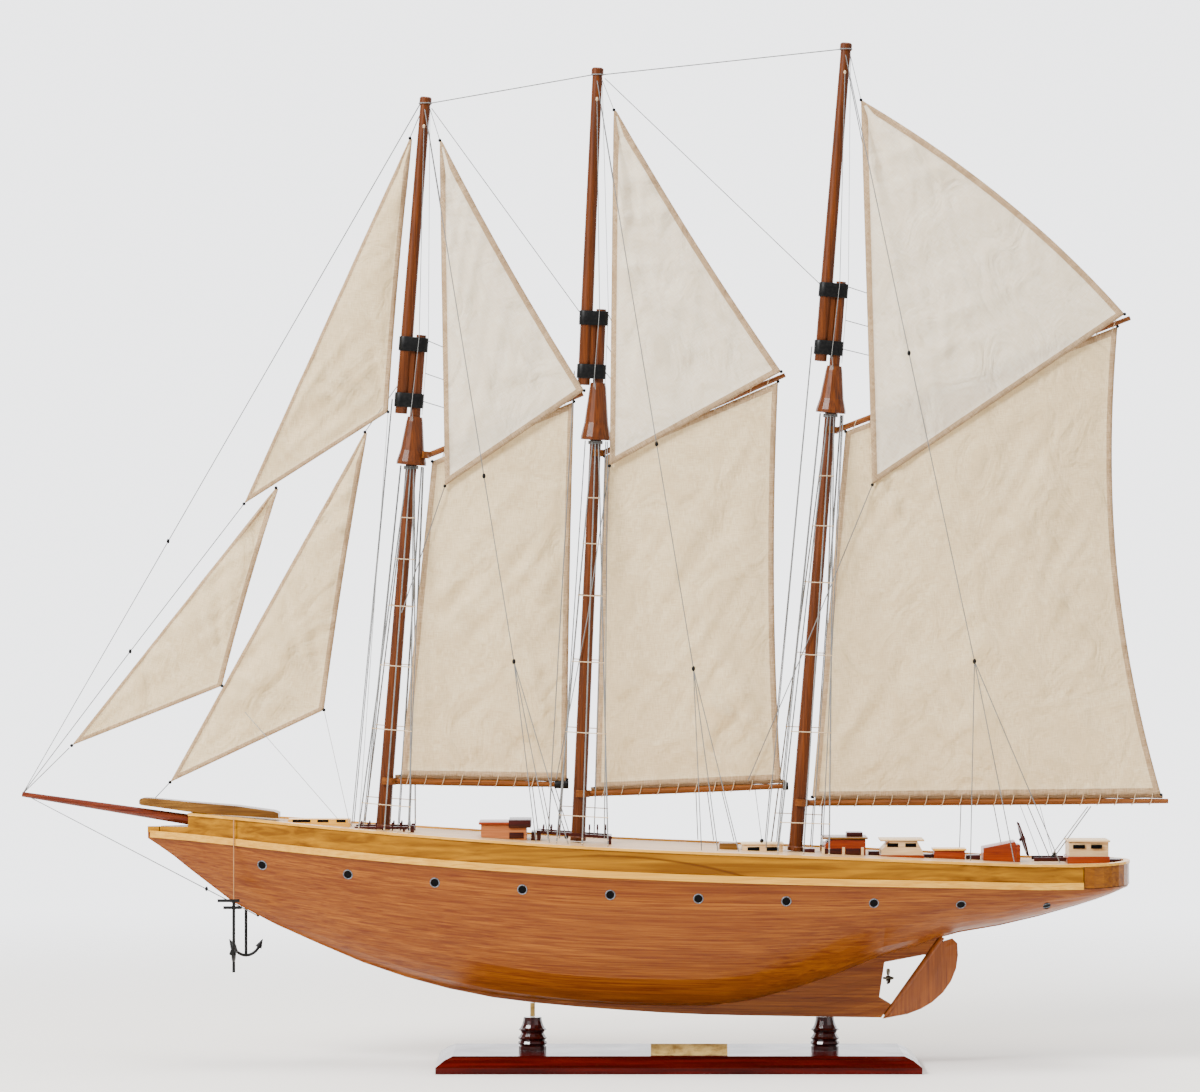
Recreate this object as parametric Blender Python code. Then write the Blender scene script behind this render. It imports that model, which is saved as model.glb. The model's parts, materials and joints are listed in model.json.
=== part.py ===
"""Three-masted gaff schooner display model on a turned-pedestal stand.

Metres, +Z up.  The bow points to -X, the stern to +X, the port side to -Y.  The origin is
on the surface the plinth stands on, under the middle of the model's overall length.
"""
import math

import bmesh
import bpy
from mathutils import Matrix, Vector

MM = 0.001
GAP = 0.0003

# ---------------------------------------------------------------- driving dimensions
STEM_X = -388.5 * MM
STEM_HEAD_AFT_X = -379.0 * MM
FORE_BREAK_X = -352.0 * MM
BAND_AFT_X = 421.0 * MM
STERN_X = 465.0 * MM

# half beam at the sheer, along the length
HALF_BEAM = [(-388.5, 1.3), (-352, 13), (-300, 29), (-240, 46), (-169, 60), (-82, 71),
             (5, 76.5), (92, 77), (180, 75), (260, 71), (340, 63), (421, 50)]
# sheer: the lower edge of the rubbing strake
SHEER = [(-388.5, 200), (-343, 197), (-273, 190.5), (-169, 181.5), (-64, 174), (5, 170),
         (92, 166.3), (197, 163), (301, 160.5), (406, 157.5), (465, 158.8)]
# height of the bulwark band above the sheer
BAND_HEIGHT = [(-352, 20.8), (-273, 22), (-64, 22.9), (92, 22.7), (197, 22), (301, 19.8),
               (406, 18.8), (465, 18.6)]
# stem, keel, the rudder's raked line and the counter
KEEL = [(-388.5, 198.5), (-369, 185.4), (-343, 164.5), (-312.7, 141.9), (-256, 114),
        (-169, 79.2), (-82, 59.1), (5, 50.4), (92, 45.2), (145, 44.0), (250, 42.4)]
RUDDER_LINE = [(250, 42.4), (299, 111.5)]
COUNTER = [(299, 111.5), (318, 116.6), (353.6, 122.7), (440.7, 146.5), (464.5, 156.5)]
# rabbet: where the rounded body meets the thin deadwood
RABBET_RISE = [(-388.5, 1), (-169, 2), (5, 4), (60, 6), (110, 8.5), (160, 20), (210, 37),
               (250, 54)]
RABBET_AFT = [(250, 96.4), (285, 106.5), (299, 112.5)]
KEEL_HALF_THICKNESS = [(-388.5, 0.9), (-312, 1.6), (5, 3.2), (250, 2.6), (464.5, 1.6)]
# 0 is a straight V section, 1 a quarter ellipse
FULLNESS = [(-388.5, 0.15), (-300, 0.3), (-169, 0.62), (5, 0.93), (110, 0.9), (250, 0.72),
            (350, 0.85), (464.5, 0.95)]

LEDGE = 2.8 * MM
BAND_THICKNESS = 2.4 * MM
STRAKE_HEIGHT = 5.5 * MM
CAP_THICKNESS = 2.2 * MM
DECK_THICKNESS = 2.5 * MM
DECK_ABOVE_BAND = 1.0 * MM
DECK_INSET = 4.3 * MM

PORTHOLE_COUNT = 10
PORTHOLE_FIRST_X = -287.0 * MM
PORTHOLE_PITCH = 75.25 * MM
PORTHOLE_BELOW_SHEER = 15.0 * MM
PORTHOLE_RADIUS = 3.5 * MM
PORTHOLE_DEPTH = 1.6 * MM

# masts: foot on the deck (x, z), rake as aft offset per height, then heights
MASTS = {
    "fore": {"foot": (-184.1, 206.4), "rake": 0.0785, "hounds": (523.4, 565.2),
             "lower_cap": 579.2, "upper_cap": 628.0, "head": 636.5, "top": 843.9},
    "main": {"foot": (-14.0, 196.2), "rake": 0.044, "hounds": (545.2, 594.8),
             "lower_cap": 604.5, "upper_cap": 651.0, "head": 659.0, "top": 869.2},
    "mizzen": {"foot": (175.2, 187.6), "rake": 0.081, "hounds": (568.7, 609.6),
               "lower_cap": 624.8, "upper_cap": 675.0, "head": 683.0, "top": 891.0},
}
MAST_FOOT_RADIUS = 6.1 * MM
MAST_HOUNDS_RADIUS = 4.9 * MM
MAST_HEAD_RADIUS = 4.7 * MM
HOUNDS_SKIRT_RADIUS = 13.0 * MM
HOUNDS_NECK_RADIUS = 6.4 * MM
TOPMAST_OFFSET = 12.4 * MM
TOPMAST_HEEL_RADIUS = 4.5 * MM
TOPMAST_HEAD_RADIUS = 3.4 * MM
CAP_BAND_HEIGHT = 11.5 * MM

# spars: (throat height on the mast, end x, end z), radii
BOOMS = {"fore": (248.0, -22.5, 244.9), "main": (236.9, 169.0, 243.8),
         "mizzen": (229.0, 500.0, 230.7)}
GAFFS = {"fore": (526.0, -9.5, 585.4), "main": (530.8, 166.4, 601.8),
         "mizzen": (551.0, 466.9, 651.4)}
BOOM_RADIUS = 3.0 * MM
GAFF_RADIUS = 2.8 * MM
JAW_RUNNING_GAP = 0.45 * MM
JAW_WALL = 2.3 * MM
JAW_HEIGHT = 6.0 * MM

SAIL_THICKNESS = 0.8 * MM
TOPSAIL_OFFSET = -4.8
SHROUD_WIDTH = 0.45 * MM
STAY_RADIUS = 0.45 * MM
RATLINE_STEPS = (0.0, 0.14, 0.255, 0.385, 0.55, 0.725, 0.93, 1.0)
SHROUD_SPREAD = (-18.0, 4.0, 26.0)

BOWSPRIT_TIP = (-498.0, 236.6)
BOWSPRIT_HEEL = (-353.0, 214.6)

PLINTH_X = (-136.0 * MM, 281.5 * MM)
PLINTH_HALF_DEPTH = 64.5 * MM
PLINTH_EDGE_HEIGHT = 5.5 * MM
PLINTH_HEIGHT = 14.0 * MM
PLINTH_CHAMFER_RUN = 14.5 * MM
FORE_PEDESTAL_X = -53.5 * MM
AFT_PEDESTAL_X = 201.0 * MM
PEDESTAL_HEIGHT = 28.6 * MM

RUDDER_RAKE_FOOT = (250.0, 42.4)
RUDDER_RAKE_HEAD = (299.0, 111.5)
PROPELLER_CENTRE = (256.2, 76.5)
PROPELLER_RADIUS = 8.3 * MM
WHEEL_CENTRE = (373.5, 197.6)
WHEEL_LEAN = math.radians(17.0)
WHEEL_RADIUS = 16.5 * MM


# ---------------------------------------------------------------- small helpers
def clear_scene():
    for item in list(bpy.data.objects):
        bpy.data.objects.remove(item, do_unlink=True)


def make_material(name, colour, roughness, metallic=0.0):
    material = bpy.data.materials.new(name)
    material.use_nodes = True
    shader = material.node_tree.nodes["Principled BSDF"]
    shader.inputs["Base Color"].default_value = (*colour, 1.0)
    shader.inputs["Roughness"].default_value = roughness
    shader.inputs["Metallic"].default_value = metallic
    return material


def smooth_value(table, x):
    """Monotone cubic through the table's points, in the table's own unit (millimetres)."""
    if x <= table[0][0]:
        return table[0][1]
    if x >= table[-1][0]:
        return table[-1][1]
    count = len(table)
    slopes = [(table[i + 1][1] - table[i][1]) / (table[i + 1][0] - table[i][0])
              for i in range(count - 1)]
    tangents = [slopes[0]]
    for i in range(1, count - 1):
        same_way = slopes[i - 1] * slopes[i] > 0
        mean = 2 * slopes[i - 1] * slopes[i] / (slopes[i - 1] + slopes[i]) if same_way else 0.0
        tangents.append(mean)
    tangents.append(slopes[-1])
    i = max(j for j in range(count - 1) if table[j][0] <= x)
    span = table[i + 1][0] - table[i][0]
    t = (x - table[i][0]) / span
    return ((2 * t ** 3 - 3 * t ** 2 + 1) * table[i][1]
            + (t ** 3 - 2 * t ** 2 + t) * span * tangents[i]
            + (3 * t ** 2 - 2 * t ** 3) * table[i + 1][1]
            + (t ** 3 - t ** 2) * span * tangents[i + 1])


def along(table, x):
    """A table's value at x, both in metres."""
    return smooth_value(table, x / MM) * MM


def add_object(name, mesh_builder, material, smooth_angle=35.0, location=None):
    """Puts a bmesh into the scene as one named object."""
    mesh = bpy.data.meshes.new(name)
    mesh_builder.normal_update()
    mesh_builder.to_mesh(mesh)
    mesh_builder.free()
    item = bpy.data.objects.new(name, mesh)
    bpy.context.collection.objects.link(item)
    if material is not None:
        mesh.materials.append(material)
    if smooth_angle:
        mesh.shade_smooth()
        mesh.set_sharp_from_angle(angle=math.radians(smooth_angle))
    if location is not None:
        item.location = location
    return item


def loft(builder, rings, closed_ends=True):
    """Skins equal-length closed rings; the rings run so that faces point outwards."""
    made = [[builder.verts.new(point) for point in ring] for ring in rings]
    count = len(rings[0])
    for lower, upper in zip(made, made[1:]):
        for i in range(count):
            j = (i + 1) % count
            builder.faces.new((lower[i], lower[j], upper[j], upper[i]))
    if closed_ends:
        builder.faces.new(list(reversed(made[0])))
        builder.faces.new(made[-1])
    bmesh.ops.recalc_face_normals(builder, faces=builder.faces)
    return made


def circle(centre, normal, radius, sides):
    """Points of a circle about a centre, square to a normal."""
    frame = Vector(normal).to_track_quat("Z", "Y").to_matrix()
    points = []
    for i in range(sides):
        angle = math.tau * (i + 0.5) / sides
        points.append(Vector(centre) + frame @ Vector((radius * math.cos(angle),
                                                       radius * math.sin(angle), 0)))
    return points


def turned(name, stations, sides, material):
    """A turned piece: stations are (centre, radius) along one straight axis."""
    axis = Vector(stations[-1][0]) - Vector(stations[0][0])
    builder = bmesh.new()
    loft(builder, [circle(centre, axis, radius, sides) for centre, radius in stations])
    return add_object(name, builder, material)


def block(builder, low, high):
    """An axis-aligned block between two corners."""
    centre = [(a + b) / 2 for a, b in zip(low, high)]
    size = [b - a for a, b in zip(low, high)]
    matrix = Matrix.Translation(centre) @ Matrix.Diagonal((*size, 1.0))
    return bmesh.ops.create_cube(builder, size=1.0, matrix=matrix)["verts"]


def helper(name, builder):
    """A cutter or joiner: kept in the file as a wire guide only."""
    item = add_object(name, builder, None, smooth_angle=None)
    item.hide_render = True
    item.display_type = "WIRE"
    return item


def boolean(item, other, operation):
    modifier = item.modifiers.new(operation.title(), "BOOLEAN")
    modifier.operation = operation
    modifier.solver = "EXACT"
    modifier.object = other
    return modifier


# ---------------------------------------------------------------- hull form
def half_beam(x):
    if x <= BAND_AFT_X:
        return along(HALF_BEAM, x)
    share = min((x - BAND_AFT_X) / (STERN_X - BAND_AFT_X), 1.0)
    return HALF_BEAM[-1][1] * MM * math.sqrt(max(1.0 - share ** 2, 0.0))


def sheer(x):
    return along(SHEER, x)


def band_top(x):
    if x < FORE_BREAK_X:
        return 209.0 * MM
    return sheer(x) + along(BAND_HEIGHT, x)


def deck_level(x):
    return band_top(x) + DECK_ABOVE_BAND


def keel_line(x):
    if x <= KEEL[-1][0] * MM:
        return along(KEEL, x)
    if x <= COUNTER[0][0] * MM:
        return along(RUDDER_LINE, x)
    return along(COUNTER, x)


def rabbet(x):
    if x <= RABBET_RISE[-1][0] * MM:
        return keel_line(x) + along(RABBET_RISE, x)
    if x <= RABBET_AFT[-1][0] * MM:
        return along(RABBET_AFT, x)
    return keel_line(x) + 1.0 * MM


def body_point(x, t):
    """Half breadth and height of the rounded body, t from the rabbet to the sheer."""
    fullness = smooth_value(FULLNESS, x / MM)
    beam = half_beam(x)
    low = rabbet(x)
    rise = sheer(x) - low
    inner = min(along(KEEL_HALF_THICKNESS, x), 0.7 * beam)
    out = (1 - fullness) * t + fullness * math.sin(t * math.pi / 2)
    up = (1 - fullness) * t + fullness * (1 - math.cos(t * math.pi / 2))
    return inner + (beam - inner) * out, low + rise * up


def half_breadth_at(x, z):
    """Half breadth of the body at a height, found by halving."""
    low, high = 0.0, 1.0
    for _ in range(30):
        middle = (low + high) / 2
        if body_point(x, middle)[1] < z:
            low = middle
        else:
            high = middle
    return body_point(x, low)[0]


def core_top(x):
    if x < FORE_BREAK_X:
        return band_top(x) - 0.4 * MM
    if x > STERN_X - LEDGE - 1.0 * MM:
        return sheer(x) + 0.5 * MM
    return deck_level(x) - DECK_THICKNESS - GAP


def stern_ledge(x):
    """How far the core steps in behind the stern's rounded bulwark."""
    share = (x - BAND_AFT_X) / (STERN_X - BAND_AFT_X - LEDGE)
    core = (HALF_BEAM[-1][1] * MM - LEDGE) * math.sqrt(max(1.0 - share ** 2, 0.0))
    return half_beam(x) - max(core, 0.3 * MM)


def hull_ring(x, ledge, top, body_steps=7):
    """One closed section of the hull, port side up, over the deck, starboard side down."""
    inner = min(along(KEEL_HALF_THICKNESS, x), 0.7 * half_beam(x))
    half = [(inner, keel_line(x)), (inner, rabbet(x))]
    half += [body_point(x, (i + 1) / body_steps) for i in range(body_steps)]
    beam = half_beam(x)
    half += [(beam - ledge, sheer(x) + 0.2 * MM), (beam - ledge, top)]
    port = [(x, -y, z) for y, z in half]
    starboard = [(x, y, z) for y, z in reversed(half)]
    return port + starboard


def spread(start, end, count):
    return [start + (end - start) * i / (count - 1) for i in range(count)]


def build_hull(material):
    rings = []
    stem_stations = spread(STEM_X, STEM_HEAD_AFT_X, 2)
    for x in stem_stations:
        rings.append(hull_ring(x, 0.0002, 208.6 * MM))
    for x in spread(STEM_HEAD_AFT_X + GAP, FORE_BREAK_X - 0.5 * MM, 3):
        rings.append(hull_ring(x, min(LEDGE, 0.62 * half_beam(x)), core_top(x)))
    for x in spread(FORE_BREAK_X + 0.1 * MM, 250.0 * MM, 17):
        rings.append(hull_ring(x, LEDGE, core_top(x)))
    for x in spread(266.0 * MM, 299.0 * MM, 3):
        rings.append(hull_ring(x, LEDGE, core_top(x)))
    for x in spread(318.0 * MM, BAND_AFT_X, 4):
        rings.append(hull_ring(x, LEDGE, core_top(x)))
    for share in (0.35, 0.6, 0.77, 0.87, 0.91, 0.925, 0.965, 0.99):
        x = BAND_AFT_X + (STERN_X - BAND_AFT_X) * share
        rings.append(hull_ring(x, stern_ledge(x), core_top(x)))
    builder = bmesh.new()
    loft(builder, rings)
    hull = add_object("hull", builder, material, smooth_angle=28)
    boolean(hull, porthole_cutters(), "DIFFERENCE")
    boolean(hull, aperture_cutter(), "DIFFERENCE")
    return hull


def porthole_cutters():
    builder = bmesh.new()
    for i in range(PORTHOLE_COUNT):
        x = PORTHOLE_FIRST_X + i * PORTHOLE_PITCH
        z = sheer(x) - PORTHOLE_BELOW_SHEER
        surface = half_breadth_at(x, z)
        inside = min(half_breadth_at(x, z - PORTHOLE_RADIUS),
                     half_breadth_at(x - PORTHOLE_RADIUS, z)) - PORTHOLE_DEPTH
        for side in (-1, 1):
            matrix = (Matrix.Translation((x, side * (inside + surface + 8 * MM) / 2, z))
                      @ Matrix.Rotation(math.pi / 2, 4, "X"))
            bmesh.ops.create_cone(builder, cap_ends=True, segments=10,
                                  radius1=PORTHOLE_RADIUS, radius2=PORTHOLE_RADIUS,
                                  depth=surface + 8 * MM - inside, matrix=matrix)
    return helper("porthole_cutters", builder)


def aperture_cutter():
    """The propeller aperture: a slot right through the deadwood, open at the rudder line."""
    outline = [(248.3, 60.2), (258.6, 54.0), (300.0, 96.6), (287.0, 97.0), (252.8, 90.5)]
    builder = bmesh.new()
    rings = [[Vector((x * MM, y * MM, z * MM)) for x, z in outline] for y in (-14, 14)]
    loft(builder, rings)
    return helper("aperture_cutter", builder)


# ---------------------------------------------------------------- rails around the hull
def plan_points(start, end, count):
    """Points on the port sheer plan with their outward normals, bow to stern."""
    points = []
    for x in spread(start, end, count):
        step = 0.5 * MM
        slope = (half_beam(min(x + step, BAND_AFT_X)) - half_beam(x - step)) / (2 * step)
        normal = Vector((slope, 1.0)).normalized()
        points.append((x, half_beam(x), Vector((-normal.x, normal.y))))
    return points


def stern_points(count, start_angle=0.0):
    """Points round the stern's half ellipse, port to starboard, as (x, y, normal)."""
    long_axis = STERN_X - BAND_AFT_X
    short_axis = HALF_BEAM[-1][1] * MM
    points = []
    for angle in spread(start_angle, math.pi - start_angle, count):
        x = BAND_AFT_X + long_axis * math.sin(angle)
        y = -short_axis * math.cos(angle)
        normal = Vector(((x - BAND_AFT_X) / long_axis ** 2, y / short_axis ** 2)).normalized()
        points.append((x, y, normal))
    return points


def wall_along(name, points, outer, inner, low, high, material):
    """A wall that follows plan points; outer and inner are offsets along the normal."""
    rings = []
    for x, y, normal in points:
        outside = (x + normal.x * outer, y + normal.y * outer)
        inside = (x + normal.x * inner, y + normal.y * inner)
        rings.append([(*outside, low(x)), (*outside, high(x)),
                      (*inside, high(x)), (*inside, low(x))])
    builder = bmesh.new()
    loft(builder, rings)
    return add_object(name, builder, material, smooth_angle=30)


def side_points(points, side):
    return [(x, side * y, Vector((normal.x, side * normal.y))) for x, y, normal in points]


def build_rails(band_wood, strake_wood, stern_wood):
    head = plan_points(STEM_HEAD_AFT_X + 1.5 * MM, FORE_BREAK_X - 0.6 * MM, 4)
    body = plan_points(FORE_BREAK_X, BAND_AFT_X, 22)
    strake = plan_points(STEM_X + 3 * MM, BAND_AFT_X, 24)
    for side, label in ((-1, "port"), (1, "starboard")):
        wall_along(label + "_bulwark", side_points(head + body, side), 0.4 * MM,
                   0.4 * MM - BAND_THICKNESS, lambda x: sheer(x) + 0.6 * MM, band_top,
                   band_wood)
        wall_along(label + "_strake", side_points(strake, side), 2.3 * MM, 0.7 * MM,
                   lambda x: sheer(x) - 0.4 * MM, lambda x: sheer(x) + STRAKE_HEIGHT,
                   strake_wood)
    wall_along("stern_bulwark", stern_points(17, math.radians(1.0)), 0.9 * MM,
               0.9 * MM - BAND_THICKNESS, lambda x: sheer(x) + 0.6 * MM, band_top,
               stern_wood)
    sides = plan_points(FORE_BREAK_X, BAND_AFT_X - 8 * MM, 18)
    rail = side_points(sides, -1) + stern_points(13) + list(reversed(side_points(sides, 1)))
    wall_along("cap_rail", rail, 1.7 * MM, -3.8 * MM, lambda x: band_top(x) + GAP,
               lambda x: band_top(x) + GAP + CAP_THICKNESS, strake_wood)


def build_deck(material):
    rings = []
    edge = side_points(plan_points(FORE_BREAK_X + 2 * MM, BAND_AFT_X - 8 * MM, 18), -1)
    edge += stern_points(13)[:6]
    for plan_x, plan_y, normal in edge:
        x = plan_x - normal.x * DECK_INSET
        width = -plan_y + normal.y * DECK_INSET
        top = deck_level(x)
        rings.append([(x, -width, top), (x, width, top),
                      (x, width, top - DECK_THICKNESS), (x, -width, top - DECK_THICKNESS)])
    builder = bmesh.new()
    loft(builder, rings)
    return add_object("deck", builder, material, smooth_angle=30)


# ---------------------------------------------------------------- stand
def build_stand(plinth_wood, pedestal_wood, brass):
    low_x, high_x = PLINTH_X
    run = PLINTH_CHAMFER_RUN
    corners = [(low_x, -PLINTH_HALF_DEPTH), (high_x, -PLINTH_HALF_DEPTH),
               (high_x, PLINTH_HALF_DEPTH), (low_x, PLINTH_HALF_DEPTH)]
    middle_x = (low_x + high_x) / 2
    rings = []
    for inset, z in ((0.0, 0.0), (0.0, PLINTH_EDGE_HEIGHT), (run * 0.5, PLINTH_HEIGHT * 0.78),
                     (run, PLINTH_HEIGHT)):
        rings.append([(x + math.copysign(inset, middle_x - x),
                       y - math.copysign(inset, y), z) for x, y in corners])
    builder = bmesh.new()
    loft(builder, rings)
    add_object("plinth", builder, plinth_wood, smooth_angle=None)

    builder = bmesh.new()
    profile = [(-47.0, 14.3), (-36.0, 14.3), (-36.0, 23.4), (-39.0, 23.4)]
    rings = [[(x * MM, y * MM, z * MM) for y, z in profile] for x in (49.0, 115.0)]
    loft(builder, rings)
    add_object("nameplate", builder, brass, smooth_angle=None)

    # foot, two pointed rings, a cove and the neck: radius over height above the plinth
    turning = [(0.0, 12.2), (3.2, 12.2), (4.0, 11.2), (6.0, 13.0), (7.8, 12.2), (8.4, 11.0),
               (10.6, 12.8), (12.0, 11.4), (14.6, 9.8), (16.2, 10.4), (18.0, 12.6),
               (19.4, 10.6), (22.0, 9.2), (25.5, 8.2), (28.6, 7.8)]
    for label, x in (("fore", FORE_PEDESTAL_X), ("aft", AFT_PEDESTAL_X)):
        stations = [((x, 0, PLINTH_HEIGHT + GAP + height * MM), radius * MM)
                    for height, radius in turning]
        turned(label + "_pedestal", stations, 16, pedestal_wood)
    rod_foot = PLINTH_HEIGHT + PEDESTAL_HEIGHT + 2 * GAP
    rod_head = keel_line(FORE_PEDESTAL_X) - 0.6 * MM
    turned("support_rod", [((FORE_PEDESTAL_X, 0, rod_foot), 2.2 * MM),
                           ((FORE_PEDESTAL_X, 0, rod_head), 2.2 * MM)], 12, brass)


# ---------------------------------------------------------------- masts and spars
def mast_axis(name):
    """Foot point and unit direction of a lower mast's raked axis."""
    mast = MASTS[name]
    direction = Vector((mast["rake"], 0, 1)).normalized()
    return Vector((mast["foot"][0] * MM, 0, mast["foot"][1] * MM)), direction


def on_mast(name, z, aft=0.0):
    """The point of the mast's axis at a height, moved aft square to the axis."""
    foot, direction = mast_axis(name)
    point = foot + direction * ((z - foot.z) / direction.z)
    return point + Vector((direction.z, 0, -direction.x)) * aft


def mast_radius(name, z):
    foot = MASTS[name]["foot"][1] * MM
    hounds = MASTS[name]["hounds"][0] * MM
    share = min(max((z - foot) / (hounds - foot), 0.0), 1.0)
    return MAST_FOOT_RADIUS + (MAST_HOUNDS_RADIUS - MAST_FOOT_RADIUS) * share


def build_mast(name, spar_wood, band_iron):
    mast = MASTS[name]
    foot = mast["foot"][1] * MM
    skirt, neck = (z * MM for z in mast["hounds"])
    bulge = skirt + (neck - skirt) * 0.3
    stations = [(foot, MAST_FOOT_RADIUS + 0.8 * MM), (foot + 3 * MM, MAST_FOOT_RADIUS + 0.8 * MM),
                (foot + 4 * MM, MAST_FOOT_RADIUS),
                (skirt, MAST_HOUNDS_RADIUS), (skirt + 0.1 * MM, HOUNDS_SKIRT_RADIUS),
                (skirt + 2.5 * MM, HOUNDS_SKIRT_RADIUS), (bulge, 10.4 * MM),
                (neck - 4 * MM, HOUNDS_NECK_RADIUS + 0.8 * MM), (neck, HOUNDS_NECK_RADIUS),
                (neck + 0.1 * MM, MAST_HEAD_RADIUS), (mast["head"] * MM, MAST_HEAD_RADIUS - 0.4 * MM)]
    turned(name + "_lower_mast", [(on_mast(name, z), radius) for z, radius in stations], 14,
           spar_wood)

    heel = neck + 2.0 * MM
    top = mast["top"] * MM
    stations = [(heel, TOPMAST_HEEL_RADIUS), (mast["head"] * MM, TOPMAST_HEEL_RADIUS),
                (top - 9 * MM, TOPMAST_HEAD_RADIUS), (top - 7 * MM, TOPMAST_HEAD_RADIUS),
                (top - 6.8 * MM, TOPMAST_HEAD_RADIUS + 0.9 * MM),
                (top - 1 * MM, TOPMAST_HEAD_RADIUS + 0.9 * MM), (top, TOPMAST_HEAD_RADIUS - 0.2 * MM)]
    turned(name + "_topmast", [(on_mast(name, z, -TOPMAST_OFFSET), radius)
                               for z, radius in stations], 14, spar_wood)
    for place in ("lower_cap", "upper_cap"):
        build_cap_band(name, place, band_iron)


def stadium(front, back, radius, steps=5):
    """Outline of a flat ring's plan: two half circles joined by straight sides."""
    points = []
    for i in range(steps + 1):
        angle = math.pi / 2 + math.pi * i / steps
        points.append((front + radius * math.cos(angle), radius * math.sin(angle)))
    for i in range(steps + 1):
        angle = -math.pi / 2 + math.pi * i / steps
        points.append((back + radius * math.cos(angle), radius * math.sin(angle)))
    return points


def build_cap_band(name, place, band_iron):
    """The iron band that holds the topmast's heel against the lower mast's head."""
    direction = mast_axis(name)[1]
    aft = Vector((direction.z, 0, -direction.x))
    centre = on_mast(name, MASTS[name][place] * MM)
    outline = stadium(-TOPMAST_OFFSET, 0.0, 6.6 * MM)
    rings = []
    for height in (-CAP_BAND_HEIGHT / 2, CAP_BAND_HEIGHT / 2):
        rings.append([centre + aft * x + Vector((0, y, 0)) + direction * height
                      for x, y in outline])
    builder = bmesh.new()
    loft(builder, rings)
    band = add_object("_".join((name, place, "band")), builder, band_iron)
    holes = bmesh.new()
    for offset, radius in ((-TOPMAST_OFFSET, TOPMAST_HEEL_RADIUS + GAP),
                           (0.0, MAST_HEAD_RADIUS + GAP)):
        ends = [centre + aft * offset + direction * h * CAP_BAND_HEIGHT for h in (-0.8, 0.8)]
        loft(holes, [circle(end, direction, radius, 12) for end in ends])
    boolean(band, helper("_".join((name, place, "holes")), holes), "DIFFERENCE")
    return band


def jaw_arc(centre, axis, inner, outer, height, half_angle):
    """A crescent about a mast's axis, open to the front."""
    aft = Vector((axis.z, 0, -axis.x))
    side = Vector((0, 1, 0))
    builder = bmesh.new()
    rings = []
    for angle in spread(-half_angle, half_angle, 13):
        radial = aft * math.cos(angle) + side * math.sin(angle)
        rings.append([centre + radial * inner - axis * height / 2,
                      centre + radial * outer - axis * height / 2,
                      centre + radial * outer + axis * height / 2,
                      centre + radial * inner + axis * height / 2])
    loft(builder, rings)
    return builder


def build_spar(name, kind, throat_z, end, radius, inner, height, half_angle, material):
    """A boom or a gaff: a tapered spar whose jaws turn round its mast."""
    axis = mast_axis(name)[1]
    centre = on_mast(name, throat_z)
    end_point = Vector((end[0] * MM, 0, end[1] * MM))
    direction = (end_point - centre).normalized()
    start = centre + direction * (inner + JAW_WALL * 0.45) / abs(direction.dot(
        Vector((axis.z, 0, -axis.x))))
    shape = ((0.0, 0.92), (0.3, 1.0), (0.7, 0.94), (1.0, 0.72))
    stations = [(start.lerp(end_point, share) - centre, radius * scale) for share, scale in shape]
    axis_line = stations[-1][0] - stations[0][0]
    builder = bmesh.new()
    loft(builder, [circle(point, axis_line, size, 12) for point, size in stations])
    spar = add_object("_".join((name, kind)), builder, material, location=centre)
    jaw_centre = centre + axis * (start - centre).dot(axis)
    jaws = jaw_arc(jaw_centre, axis, inner, inner + JAW_WALL, height, half_angle)
    boolean(spar, helper("_".join((name, kind, "jaws")), jaws), "UNION")
    return spar


def build_spars(material):
    for name, (throat, end_x, end_z) in BOOMS.items():
        inner = mast_radius(name, throat * MM) + JAW_RUNNING_GAP
        build_spar(name, "boom", throat * MM, (end_x, end_z), BOOM_RADIUS, inner, JAW_HEIGHT,
                   math.radians(115), material)
    for name, (throat, end_x, end_z) in GAFFS.items():
        inner = mast_radius(name, throat * MM) + JAW_RUNNING_GAP
        half_angle = math.radians(115)
        if name == "fore":
            inner = HOUNDS_SKIRT_RADIUS + JAW_RUNNING_GAP
            half_angle = math.radians(48)
        build_spar(name, "gaff", throat * MM, (end_x, end_z), GAFF_RADIUS, inner, JAW_HEIGHT,
                   half_angle, material)


def build_bowsprit(spar_wood, platform_wood):
    tip = Vector((BOWSPRIT_TIP[0] * MM, 0, BOWSPRIT_TIP[1] * MM))
    heel = Vector((BOWSPRIT_HEEL[0] * MM, 0, BOWSPRIT_HEEL[1] * MM))
    stations = [(tip, 2.2 * MM), (tip.lerp(heel, 0.45), 3.3 * MM), (heel, 4.7 * MM)]
    turned("bowsprit", stations, 12, spar_wood)

    # a long tapered plank with a rounded nose over the bowsprit
    rings = []
    for x, half_width, low, high in ((-396.0, 3.0, 228.4, 231.4), (-394.6, 5.0, 227.6, 233.0),
                                     (-391.0, 6.6, 227.0, 233.8), (-385.0, 7.4, 226.3, 233.6),
                                     (-352.5, 9.2, 221.8, 230.4), (-311.0, 12.0, 218.8, 227.0),
                                     (-278.0, 13.0, 216.4, 222.4), (-274.0, 12.4, 216.2, 220.8)):
        rings.append([(x * MM, -half_width * MM, low * MM), (x * MM, half_width * MM, low * MM),
                      (x * MM, half_width * MM, high * MM), (x * MM, -half_width * MM, high * MM)])
    builder = bmesh.new()
    loft(builder, rings)
    add_object("bow_platform", builder, platform_wood, smooth_angle=40)


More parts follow.
